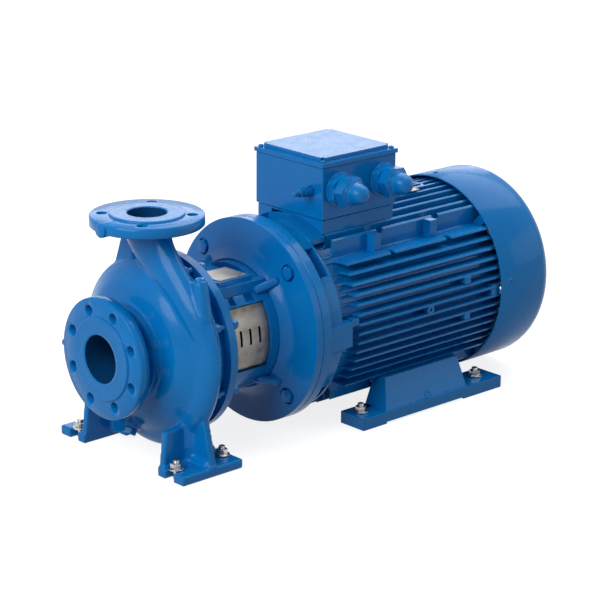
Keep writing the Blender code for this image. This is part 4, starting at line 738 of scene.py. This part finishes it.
def casing_foot(side):
    """One casing foot: plate, lengthwise web, and a leg that flares to both."""
    outer = side * 0.160
    inner = side * 0.095
    plate = side_box(side, (0.0375, 0.095, 0.0), (0.1625, 0.160, PUMP_FOOT_TOP))
    rib_low, rib_high = sorted((inner, inner + side * 0.012))
    lengthwise = side_prism(
        [(0.0400, 0.008), (0.1589, 0.008), (0.1469, 0.028), (0.114, 0.055), (0.114, 0.095),
         (0.0900, 0.0950), (0.0850, 0.0775), (0.0475, 0.0740)],
        rib_low, rib_high - rib_low,
    )
    crosswise = cross_prism(
        [(side * 0.059, 0.008), (outer, 0.008), (outer * 0.99, 0.016), (side * 0.1394, 0.095),
         (side * 0.119, 0.110), (side * 0.059, 0.059)],
        0.096, 0.012,
    )
    fillet = cross_prism(
        [(side * 0.095, 0.008), (side * 0.156, 0.008), (side * 0.150, 0.0225),
         (side * 0.106, 0.026)],
        0.091, 0.022,
    )
    corner = extrude_outline(
        [(0.098, side * 0.105, 0.010), (0.082, side * 0.105, 0.010),
         (0.098, side * 0.119, 0.010)],
        (0.0, 0.0, 0.080),
    )
    seam = rod((0.0795, side * 0.1068, 0.0510), (0.0895, side * 0.1068, 0.0240), 0.0014, 0.0018, 12)
    return [plate, lengthwise, crosswise, fillet, corner, seam]


def make_casing_skin():
    """The cast skin: scroll wall, neck, bosses and feet in one, hollow inside."""
    rings = []
    for turn in turns_of(ROUND_STEPS):
        rings.append([shaft_point(x, radius, turn) for x, radius in wall_section(turn)])
    skin = loft(rings, closed=True)
    under = DISCHARGE_TOP - FLANGE_THICK
    hub = upright_lathe(
        DISCHARGE_X,
        [(under + 0.006, 0.0), (under + 0.006, 0.0500), (under - 0.001, 0.0500),
         (under - 0.009, 0.0425), (under - 0.009, 0.0)],
    )
    rib = cross_prism(
        [(0.020, under - 0.030), (0.020, under + 0.004), (0.0495, under + 0.004), (0.084, 0.2957),
         (0.060, 0.280)],
        0.0955, 0.010,
    )
    vent_foot = Vector((0.1030, -0.1345, 0.2530))
    vent = axis_lathe(
        vent_foot, VENT_TOP - vent_foot,
        [(0.0, 0.0145), (0.055, 0.0125), (0.0640, 0.0120)],
    )
    drain = rod((0.088, 0.0085, 0.082), DRAIN_SEAT, 0.0150, 0.0130)
    pieces = [neck(0.0, 56, 1.0), hub, rib, vent, drain]
    join(skin, *pieces, solver="MANIFOLD")
    for side in (-1, 1):
        join(skin, *casing_foot(side), solver="MANIFOLD")
    bore = rod((DISCHARGE_X, 0.0, 0.43), (DISCHARGE_X, 0.0, 0.37), DISCHARGE_BORE / 2, sides=48)
    chamber = shaft_lathe(
        [(0.0602, 0.0), (0.0602, 0.040), (0.0622, 0.052), (0.0682, 0.085), (0.0802, 0.112),
         (0.0925, 0.1194), (0.140, 0.1194), (0.140, 0.0)],
    )
    cut(skin, neck(NECK_WALL, 40, 0.97), bore, chamber, solver="MANIFOLD")
    for side in (-1, 1):
        y = side * PUMP_BOLT_SIDE
        for x, width in zip(PUMP_BOLT_STATIONS, (0.019, 0.014)):
            cut(skin, rod((x, y, -0.01), (x, y, 0.030), width / 2), solver="MANIFOLD")
        slot = box((0.02, y - 0.0095, -0.01), (PUMP_BOLT_STATIONS[0], y + 0.0095, 0.026))
        cut(skin, slot, solver="MANIFOLD")
    remesh(skin, SKIN_VOXEL, SKIN_ROUNDS)
    finish(skin, "casing_skin", "blue_paint", ["volute_casing"])


def make_bore_shade_liners():
    """Dark liners in both bores: painted shade, a darker blue that stands in for the shade inside
    them.
    """
    liner = shaft_lathe([(0.0010, 0.0399), (0.0010, 0.0396), (0.0605, 0.0396), (0.0605, 0.0399)])
    finish(liner, "suction_bore_shade", "blue_paint", look="bore_painted_shade")
    liner = upright_lathe(
        DISCHARGE_X,
        [(DISCHARGE_TOP - 0.0012, 0.0324), (DISCHARGE_TOP - 0.0012, 0.0321),
         (DISCHARGE_TOP - 0.0350, 0.0321), (DISCHARGE_TOP - 0.0350, 0.0324)],
    )
    finish(liner, "discharge_bore_shade", "blue_paint", look="bore_painted_shade")


def make_casing_details():
    """The rear rim, the gauge nub, and the drain and vent plugs."""
    rim = shaft_lathe(
        [(0.1165, 0.1200), (0.1165, 0.1500), (0.1180, 0.1516), (0.1250, 0.1516), (0.1259, 0.1507),
         (0.1259, 0.1200)],
    )
    finish(rim, "casing_rim", "blue_paint")
    nub = rod((0.0125, 0.093, SHAFT_HEIGHT), (0.0125, 0.109, SHAFT_HEIGHT), 0.007, 0.0062, sides=24)
    finish(nub, "gauge_nub", "blue_paint", bevel=0.0008)
    aim = Vector((-0.020, 0.0, -0.036)).normalized()
    seat = DRAIN_SEAT + aim * GAP
    plug = rod(seat, seat + aim * 0.011, 0.0118, sides=6)
    finish(plug, "drain_plug_head", "blue_paint", ["drain_plug"], bevel=0.0012)
    aim = Vector((0.0, 0.1, 1.0)).normalized()
    plug = axis_lathe(
        VENT_TOP, aim,
        [(0.0, 0.0085), (0.0036, 0.0080), (0.0045, 0.0068), (0.0045, 0.0035), (0.0022, 0.0030)],
    )
    finish(plug, "vent_plug_head", "blue_paint", ["vent_plug"])


def make_suction_flange():
    """The machined suction flange with its raised face, turning marks and bolt holes."""
    grooves = []
    for step in range(9):
        radius = 0.0470 + 0.0021 * step
        grooves += [(0.0, radius), (0.00016, radius + 0.0004), (0.0, radius + 0.0008)]
    flange = shaft_lathe(
        [(0.024, 0.040), (0.0008, 0.040), (0.0, 0.0408)] + grooves
        + [(0.0, 0.0680), (0.0010, 0.0690), (0.0030, 0.0692), (0.0030, 0.0988), (0.0042, 0.1000),
           (0.0205, 0.1000), (0.0220, 0.0985), (0.0220, 0.0640), (0.0240, 0.0600)],
    )
    holes = []
    for turn in turns_of(8, math.pi / 8):
        holes.append(axis_lathe(
            shaft_point(-0.002, SUCTION_BOLT_CIRCLE, turn), ALONG,
            [(0.0, 0.0104), (0.0050, 0.0098), (0.0058, BOLT_HOLE), (0.0300, BOLT_HOLE)],
        ))
    cut(flange, group(holes))
    finish(flange, "suction_flange", "blue_paint")


def make_discharge_flange():
    """The machined discharge flange with its raised face, lug and bolt holes."""
    top = DISCHARGE_TOP
    under = top - FLANGE_THICK
    grooves = []
    for step in range(7):
        radius = 0.0380 + 0.0026 * step
        grooves += [(top, radius), (top - 0.00008, radius + 0.0005), (top, radius + 0.0010)]
    flange = upright_lathe(
        DISCHARGE_X,
        [(under, 0.0325), (top - 0.0010, 0.0325), (top, 0.0335)] + grooves
        + [(top, 0.0600), (top - 0.0010, 0.0610), (top - 0.0030, 0.0612), (top - 0.0030, 0.0912),
           (top - 0.0042, 0.0925), (under + 0.0014, 0.0925), (under, 0.0910), (under, 0.0480)],
        steps=128,
    )
    lug = axis_lathe(
        (DISCHARGE_X - 0.0925 - 0.004, 0.0, under + 0.0060), ALONG,
        [(0.0, 0.0100), (0.0015, 0.0115), (0.030, 0.0115)],
    )
    join(flange, lug)
    holes = []
    for turn in turns_of(4, math.pi / 4):
        x = DISCHARGE_X + DISCHARGE_BOLT_CIRCLE * math.cos(turn)
        y = DISCHARGE_BOLT_CIRCLE * math.sin(turn)
        holes.append(axis_lathe(
            (x, y, top - 0.001), (0.0, 0.0, -1.0),
            [(0.0, 0.0094), (0.0030, BOLT_HOLE), (0.0300, BOLT_HOLE)],
        ))
    cut(flange, group(holes))
    finish(flange, "discharge_flange", "blue_paint")


# ---- lantern

LANTERN_FRONT = 0.146
MOTOR_FACE = 0.324
RING_BACK = 0.162
BODY = 0.106
MOTOR_BOLT_CIRCLE = 0.150
CASING_BOLT_CIRCLE = 0.1425
DECK_TOP = SHAFT_HEIGHT + 0.0944
DECK_SIDE = 0.0735
RIB_DEGREES = (43.5, 133.0, 227.0, 316.5)
RIB_PROFILE = [
    (0.0, 0.0), (0.0012, 0.0050), (0.0040, 0.0072), (0.0060, 0.0076), (0.0395, 0.0076),
    (0.0400, 0.0084), (0.0430, 0.0084), (0.0455, 0.0070), (0.0465, 0.0),
]
PLATE_PIN = [(0.0, 0.0021), (0.0007, 0.0017), (0.0010, 0.0008), (0.0011, 0.0)]


def make_pins(name, stations, sides, height, profile, steps):
    """Rivets at the corners of a plate."""
    pins = []
    for x in stations:
        for y in sides:
            pins.append(axis_lathe((x, y, height), UP, profile, steps))
    finish(group(pins), name, "nameplate")


def make_lantern():
    """The bracket between pump and motor: turned shell, deck, pad, windows, ribs, bolt seats."""
    flare = smooth_path(
        [(0.1790, BODY), (0.2780, BODY + 0.0005), (0.2870, 0.1100), (0.2960, 0.1185),
         (0.3030, 0.1300), (0.3058, 0.1450), (0.3078, 0.1620), (0.3088, 0.1720)], 5
    )
    shell = shaft_lathe(
        [(LANTERN_FRONT, 0.084), (LANTERN_FRONT, 0.1495), (LANTERN_FRONT + 0.0006, 0.1500),
         (RING_BACK - 0.0010, 0.1500), (RING_BACK, 0.1490), (RING_BACK, 0.1205)]
        + arc_points((RING_BACK + 0.012, 0.118), 0.012, 168, 270, 5)
        + flare
        + [(0.3092, 0.1742), (0.3102, 0.1750), (0.3230, 0.1750), (0.3240, 0.1740), (0.3240, 0.124),
           (0.3090, 0.118), (0.2790, 0.094), (0.158, 0.094), (0.158, 0.084)],
    )
    cut(shell, box((RING_BACK, -DECK_SIDE, DECK_TOP), (0.272, DECK_SIDE, DECK_TOP + 0.06)))
    deck = box((0.158, -DECK_SIDE, DECK_TOP - 0.0165), (0.287, DECK_SIDE, DECK_TOP))
    pad = box((0.191, -0.0671, DECK_TOP - 0.008), (0.2620, -0.0020, DECK_TOP + 0.009))
    join(shell, deck, pad)
    for side in (-1, 1):
        low = (0.178, 0.035, SHAFT_HEIGHT - 0.0465)
        cut(shell, side_box(side, low, (0.271, 0.21, SHAFT_HEIGHT + 0.0625)))
    ribs = []
    for degrees in RIB_DEGREES:
        turn = math.radians(degrees)
        start = shaft_point(0.2605, BODY, turn)
        end = shaft_point(0.3050, 0.1240, turn)
        ribs.append(axis_lathe(start, end - start, RIB_PROFILE, 28))
    join(shell, group(ribs))
    for side in (-1, 1):
        for start_x, end_x in ((0.2030, 0.2150), (0.2370, 0.2560)):
            cut(shell, side_box(side, (start_x, 0.0715, 0.2445), (end_x, 0.11, 0.2565)))
    seats = []
    for turn in turns_of(4, math.pi / 4):
        inner = shaft_point(0.279, MOTOR_BOLT_CIRCLE, turn)
        seats.append(rod(inner, shaft_point(0.3130, MOTOR_BOLT_CIRCLE, turn), 0.0145))
    cut(shell, group(seats))
    finish(shell, "lantern_shell", "blue_paint", ["lantern"], bevel=0.0011)
    for side, name in ((-1, "guard_near"), (1, "guard_far")):
        make_guard(side, name)
    plate = box((0.197, -0.0611, DECK_TOP + 0.0093), (0.2560, -0.0080, DECK_TOP + 0.0103))
    finish(plate, "plate_blank", "nameplate", ["pump_nameplate"], bevel=0.0003)
    make_pins(
        "plate_pins", (0.2010, 0.2520), (-0.0571, -0.0120), DECK_TOP + 0.0102, PLATE_PIN, 16
    )


def make_guard(side, node_name):
    """A slotted stainless guard, bent to the lantern's body."""
    outer = BODY - 0.004
    inner = outer - 0.0015
    top = math.asin(0.0622 / outer)
    bottom = -math.asin(0.0462 / outer)
    swings = [bottom + (top - bottom) * index / 28 for index in range(29)]
    outline = [(side * outer * math.cos(a), SHAFT_HEIGHT + outer * math.sin(a)) for a in swings]
    outline += [
        (side * inner * math.cos(a), SHAFT_HEIGHT + inner * math.sin(a)) for a in reversed(swings)
    ]
    guard = cross_prism(outline, 0.1783, 0.0924)
    slots = []
    top_z = SHAFT_HEIGHT + 0.0255
    for index in range(3):
        x = 0.2083 + 0.0199 * index
        slots.append(side_box(side, (x, 0.05, top_z - 0.0265), (x + 0.0045, 0.20, top_z)))
    cut(guard, group(slots))
    finish(guard, node_name + "_sheet", "stainless", [node_name])


# ---- fasteners

MOTOR_FOOT_TOP = 0.0214
MOTOR_FOOT_START = MOTOR_FACE + 0.0989
MOTOR_FOOT_LENGTH = 0.3373
MOTOR_BOLT_SPREAD = 0.1395
FOOT_WASHER = [(0.0, 0.0127), (0.0004, 0.0131), (0.0020, 0.0131), (0.0025, 0.0125)]


def hex_body(start, along, radius, height, turn=0.0, chamfer=True):
    """A hexagon with its outer corners turned down, as a nut or head."""
    start = Vector(start)
    aim = Vector(along).normalized()
    body = rod(start, start + aim * height, radius, sides=6, turn=turn)
    if chamfer:
        flat = radius * math.cos(math.pi / 6)
        trim = axis_lathe(
            start, aim,
            [(-0.0001, radius * 1.05), (height * 0.88, radius * 1.02),
             (height + 0.0001, flat * 0.94)], 36,
        )
        boolean(body, trim, "INTERSECT", "EXACT")
    return body


def threaded(start, along, radius, length, pitch=0.0014):
    """A stud end with ridged thread and a chamfered tip."""
    profile = [(0.0, radius)]
    count = int(length / pitch)
    for index in range(count):
        base = index * pitch
        profile += [(base + pitch * 0.15, radius), (base + pitch * 0.55, radius * 0.88)]
    profile += [(count * pitch, radius * 0.96), (length, radius * 0.80)]
    return axis_lathe(start, along, profile, 24)


def make_foot_bolts():
    """Washer, nut, stud end and shank at each of the eight foot bolts."""
    middle = MOTOR_FOOT_START + MOTOR_FOOT_LENGTH / 2 - 0.008
    motor_stations = (middle - MOTOR_BOLT_SPREAD, middle + MOTOR_BOLT_SPREAD)
    places = []
    for foot, stations, out, seat in (
        ("pump", PUMP_BOLT_STATIONS, PUMP_BOLT_SIDE, PUMP_FOOT_TOP),
        ("motor", motor_stations, MOTOR_BOLT_SPREAD, MOTOR_FOOT_TOP),
    ):
        spots = [(x, side * out) for side in (-1, 1) for x in stations]
        for number, (x, y) in enumerate(spots, 1):
            places.append((f"{foot}_foot_bolt_{number}", x, y, seat))
    for name, x, y, seat in places:
        washer = axis_lathe((x, y, seat + GAP), UP, FOOT_WASHER, 40)
        nut = hex_body((x, y, seat + 0.0028), UP, 0.0098, 0.0084, turn=x * 40)
        stud = threaded((x, y, seat + 0.0105), UP, 0.0054, 0.0060)
        shank = rod((x, y, 0.0005), (x, y, seat + 0.001), 0.0055, sides=20)
        finish_set(name, "zinc", [washer, nut, stud, shank])


def make_casing_bolts():
    """Studs between casing and lantern ring with their nuts."""
    for number, turn in enumerate(turns_of(8, math.pi / 8), 1):
        head, collar_seat, nut_seat, thread, tip = (
            shaft_point(x, CASING_BOLT_CIRCLE, turn)
            for x in (0.1123, 0.1263, 0.1623, 0.1700, 0.1705)
        )
        stud = rod(head, tip, 0.0049, sides=20)
        tail = threaded(thread, ALONG, 0.0050, 0.0045, 0.0012)
        collar = hex_body(collar_seat, ALONG, 0.0085, 0.0082, turn, chamfer=False)
        nut = hex_body(nut_seat, ALONG, 0.0085, 0.0082, turn)
        finish_set(f"casing_bolt_{number}", "blue_paint", [stud, tail, collar, nut])


def make_flange_bolts():
    """The four bolts of the motor flange, with washers in their seats."""
    for number, turn in enumerate(turns_of(4, math.pi / 4), 1):
        rear, seat, front = (
            shaft_point(x, MOTOR_BOLT_CIRCLE, turn) for x in (0.3127, 0.3112, 0.3109)
        )
        washer = rod(rear, front, 0.0139, sides=40)
        head = hex_body(seat, BACK, 0.0118, 0.0085, turn)
        finish_set(f"flange_bolt_{number}", "blue_paint", [washer, head])


# ---- motor

DRUM_RADIUS = 0.1650
DRUM_END = 0.3847
FRAME_START = 0.3852
COLLAR_END = 0.4085


def recess(start, end):
    """The block cut out for the recess under the terminal box."""
    return box((start, -0.010, 0.3270), (end, 0.050, 0.3600))


def make_endshield():
    """The drive-end shield: flange, drum with cast pockets and a recess, two side lugs."""
    start = MOTOR_FACE + GAP
    step = start + 0.020
    shield = shaft_lathe(
        [(start, 0.125), (start, 0.1735), (start + 0.0015, 0.1750), (step - 0.0022, 0.1750),
         (step - 0.0004, 0.1735), (step + 0.0006, 0.1690), (step + 0.0030, 0.1655),
         (step + 0.0055, DRUM_RADIUS), (0.3735, DRUM_RADIUS), (0.3765, 0.1640), (0.3785, 0.1615),
         (0.3825, 0.1540), (DRUM_END, 0.1520), (DRUM_END, 0.060), (start + 0.010, 0.060),
         (start + 0.010, 0.125)],
    )
    z = SHAFT_HEIGHT
    for side in (-1, 1):
        low = (step + 0.001, 0.151, z - 0.023)
        join(shield, side_box(side, low, (step + 0.048, 0.1712, z + 0.020)))
        low = (step + 0.001, 0.151, z - 0.030)
        join(shield, side_box(side, low, (step + 0.040, DRUM_RADIUS, z - 0.020)))
    pockets = []
    for degrees in (45.0, 135.0, 225.0, 315.0):
        pocket = box((step + 0.0022, -0.028, 0.151), (step + 0.0255, 0.028, 0.177))
        pocket.data.transform(shaft_turn(math.radians(degrees)))
        pockets.append(pocket)
    pockets.append(recess(step + 0.0040, 0.3900))
    cut(shield, group(pockets))
    finish(shield, "drive_shield", "motor_paint", ["drive_endshield"], bevel=0.0010)


def make_frame():
    """The finned frame with rounded fin tips and roots."""
    finish_copy("motor_frame", "frame_casting", bevel=0.0011, angle=28.0)


def make_collar():
    """The solid collar that closes the fins' front ends under the terminal box."""
    collar = shaft_lathe(
        [(FRAME_START, 0.1485), (0.3730, 0.1640), (0.3740, 0.1653), (COLLAR_END, 0.1672),
         (COLLAR_END, 0.1485)],
    )
    cut(collar, box((0.37, -0.2, 0.0), (0.42, 0.2, SHAFT_HEIGHT + 0.1350)))
    cut(collar, recess(0.37, 0.4030))
    for side in (-1, 1):
        cut(collar, side_box(side, (0.37, 0.0850, 0.2), (0.42, 0.2, 0.4)))
    finish(collar, "frame_collar", "motor_paint", bevel=0.0015, segments=3)


FIN_TOP = SHAFT_HEIGHT + 0.1665
RATING_PIN = [(0.0, 0.0016), (0.0006, 0.0013), (0.0009, 0.0006), (0.0010, 0.0)]
FOOT_MARK = [
    (0.0, 0.0072), (0.0047, 0.0072), (0.0054, 0.0066), (0.0054, 0.0052), (0.0046, 0.0045),
]


def make_top_fittings():
    """The lifting-eye pad between the top fins and the bare rating plate beside it."""
    top = FIN_TOP
    pad = upright_lathe(
        0.7020,
        [(top - 0.022, 0.0), (top - 0.022, 0.0190), (top - 0.001, 0.0180), (top, 0.0172),
         (top, 0.0125), (top - 0.0015, 0.0120), (top - 0.0015, 0.0070), (top - 0.009, 0.0066),
         (top - 0.009, 0.0)],
    )
    finish(pad, "lifting_pad", "motor_paint")
    plate = box((0.6480, -0.0330, top + 0.0004), (0.6830, 0.0190, top + 0.0014))
    finish(plate, "rating_blank", "nameplate", bevel=0.0003)
    make_pins(
        "rating_pins", (0.6510, 0.6800), (-0.0300, 0.0160), top + 0.0012, RATING_PIN, 14
    )


def make_motor_feet():
    """Both motor feet with softened cast edges and the round mark on each pedestal."""
    for node_name in ("motor_foot_near", "motor_foot_far"):
        finish_copy(node_name, node_name + "_casting", bevel=0.0016, segments=3, angle=25.0)
    marks = []
    for side in (-1, 1):
        out = (0.0, side * 0.892, 0.452)
        marks.append(axis_lathe((0.5820, side * 0.1583, 0.0246), out, FOOT_MARK, 40))
    finish(group(marks), "foot_marks", "motor_paint")


COWL_END = 0.886
COWL_RADIUS = 0.174
COWL_START = 0.7500
COWL_SHEET = 0.0025
COWL_CORNER = 0.032
COWL_SCREW_STATION = 0.772
COWL_SCREW = [
    (0.0, 0.0048), (0.0010, 0.0048), (0.0026, 0.0036), (0.0030, 0.0018), (0.0016, 0.0014),
]


def make_cowl():
    """The pressed cowl: eased front edge, rounded rear corner, slots, and its screws."""
    centre = (COWL_END - COWL_CORNER, COWL_RADIUS - COWL_CORNER)
    outline = [
        (COWL_START, COWL_RADIUS - COWL_SHEET), (COWL_START, COWL_RADIUS - 0.0008),
        (COWL_START + 0.0008, COWL_RADIUS),
    ]
    outline += arc_points(centre, COWL_CORNER, 90, 0, 14)
    outline += [(COWL_END, 0.0), (COWL_END - COWL_SHEET, 0.0)]
    outline += arc_points(centre, COWL_CORNER - COWL_SHEET, 0, 90, 8)
    cowl = shaft_lathe(outline)
    slots = []
    for turn in turns_of(12, math.pi / 12):
        for low, high in ((0.0452, 0.0853), (0.0922, 0.1305)):
            slot = box((COWL_END - 0.016, -0.0045, low), (COWL_END + 0.0025, 0.0045, high))
            slot.data.transform(shaft_turn(turn))
            slots.append(slot)
    cut(cowl, group(slots))
    finish(cowl, "cowl_shell", "motor_paint", ["fan_cowl"])
    screws = []
    for degrees in (-85.0, 5.0, 95.0, 185.0):
        turn = math.radians(degrees)
        seat = shaft_point(COWL_SCREW_STATION, COWL_RADIUS - 0.0006, turn)
        axis = shaft_point(COWL_SCREW_STATION, 0.0, turn)
        out = shaft_point(COWL_SCREW_STATION, 1.0, turn) - axis
        screws.append(axis_lathe(seat, out, COWL_SCREW, 24))
    finish(group(screws), "cowl_screws", "motor_paint")


# ---- terminal box

BOX_START = 0.404
BOX_END = 0.574
BOX_WIDE = 0.083
BOX_LOW = 0.350
BOX_HIGH = 0.4405
BOX_SEAM = 0.0011
BOX_WALL = 0.005
LID_RIM = 0.0077
LID_PANEL = 0.007
LID_NOTCH = 0.013
LID_SCREW_INSET = 0.0062
LID_SCREW = [
    (0.0, 0.0044), (0.0034, 0.0044), (0.0040, 0.0038), (0.0040, 0.0022), (0.0018, 0.0020),
]
EARTH_BOLT_PLACE = (-0.055, 0.398)
EARTH_WASHERS = [
    (0.0, 0.0092), (0.0022, 0.0092), (0.0022, 0.0072), (0.0036, 0.0072), (0.0036, 0.0084),
    (0.0056, 0.0084),
]
GLAND_STATIONS = (0.441, 0.5425)
GLAND_HEIGHT = 0.400
GLAND_HEX = 0.0285
GLAND_WASHER = [(0.0, 0.0296), (0.0004, 0.0300), (0.0016, 0.0300), (0.0022, 0.0292)]
DOME_START = 0.0440
DOME_LENGTH = 0.0232
DOME_RADIUS = 0.0184
GLAND_STEPS = [
    (0.0130, 0.0232), (0.0360, 0.0232), (0.0378, 0.0224), (0.0382, 0.0206), (0.0412, 0.0206),
    (0.0420, 0.0190), (DOME_START, DOME_RADIUS),
]


def make_terminal_box():
    """Riser, box, lid with its screws, the two gland plugs and the earth bolt."""
    finish_copy("terminal_box_base", "box_riser", bevel=0.0020, segments=3)
    body = box((BOX_START, -BOX_WIDE, BOX_LOW + BOX_SEAM), (BOX_END, BOX_WIDE, BOX_HIGH))
    cut(body, box(
        (BOX_START + BOX_WALL, -0.078, BOX_LOW + BOX_WALL),
        (BOX_END - BOX_WALL, 0.078, BOX_HIGH + 0.01),
    ))
    finish(body, "box_body", "motor_paint", ["terminal_box"], bevel=0.0022, segments=3)
    make_lid()
    for number, x in enumerate(GLAND_STATIONS, 1):
        make_gland(number, x)
    make_earth_bolt()


def make_lid():
    """The lid: rim, raised panel with notched corners, and a screw in each notch."""
    low = BOX_HIGH + GAP
    rim_top = low + LID_RIM
    top = rim_top + LID_PANEL
    lid = box((BOX_START - 0.002, -0.085, low), (BOX_END + 0.002, 0.085, rim_top))
    join(lid, box((BOX_START + 0.007, -0.076, low + 0.004), (BOX_END - 0.007, 0.076, top)))
    notches = []
    screws = []
    for x, turn_x in ((BOX_START, 1), (BOX_END, -1)):
        for y, turn_y in ((-BOX_WIDE, 1), (BOX_WIDE, -1)):
            notches.append(box(
                (x - LID_NOTCH, y - LID_NOTCH, rim_top - GAP),
                (x + LID_NOTCH, y + LID_NOTCH, top + 0.01),
            ))
            seat = (x + turn_x * LID_SCREW_INSET, y + turn_y * LID_SCREW_INSET, rim_top - 0.0005)
            screws.append(axis_lathe(seat, UP, LID_SCREW, 28))
    cut(lid, group(notches))
    finish(lid, "box_lid", "motor_paint", ["terminal_box_lid"], bevel=0.0018, segments=3)
    finish(group(screws), "lid_screws", "motor_paint")


def make_earth_bolt():
    """The earth bolt on the box's front wall: head, washers, two nuts and a threaded end."""
    y, z = EARTH_BOLT_PLACE
    wall = BOX_START - GAP
    finish_set("earth_bolt", "motor_paint", [
        hex_body((wall, y, z), BACK, 0.0100, 0.0070),
        axis_lathe((wall - 0.0070, y, z), BACK, EARTH_WASHERS, 32),
        hex_body((wall - 0.0126, y, z), BACK, 0.0084, 0.0064, 0.4),
        hex_body((wall - 0.0200, y, z), BACK, 0.0074, 0.0060, 0.1),
        threaded((wall - 0.0060, y, z), BACK, 0.0046, 0.0320, 0.00125),
    ])


def make_gland(number, x):
    """One gland plug: washer, two hexagons and a stepped, domed cap."""
    z = GLAND_HEIGHT
    wall = -BOX_WIDE
    out = (0.0, -1.0, 0.0)
    washer = axis_lathe((x, wall - GAP, z), out, GLAND_WASHER, 48)
    first = hex_body((x, wall - 0.002, z), out, GLAND_HEX, 0.0130)
    second = hex_body((x, wall - 0.0165, z), out, GLAND_HEX, 0.0200, math.pi / 7)
    dome = list(GLAND_STEPS)
    for step in range(1, 17):
        swing = math.pi / 2 * step / 16
        along = DOME_START + DOME_LENGTH * math.sin(swing)
        dome.append((along, DOME_RADIUS * math.cos(swing)))
    cap = axis_lathe((x, wall, z), out, dome, 56)
    name = f"cable_gland_{number}"
    finish(group([washer, first, second, cap]), name + "_plug", "motor_paint", [name])


# ---- CAD nodes

def dress_nodes():
    """Give every CAD node the finish of its slot."""
    for entry in frame["record"]["subparts"]:
        made = frame["nodes"][entry["node"]]
        for place in made.material_slots:
            place.material = FINISHES[entry["material_slot"]]


def make_pieces():
    """Every added piece."""
    make_casing_skin()
    make_suction_flange()
    make_discharge_flange()
    make_bore_shade_liners()
    make_casing_details()
    make_lantern()
    make_casing_bolts()
    make_foot_bolts()
    make_endshield()
    make_flange_bolts()
    make_frame()
    make_collar()
    make_top_fittings()
    make_motor_feet()
    make_cowl()
    make_terminal_box()


bpy.context.scene.view_settings.view_transform = "Standard"
FINISHES = make_materials()
make_camera()
make_world()
make_floor()
make_lamps()
dress_nodes()
make_pieces()
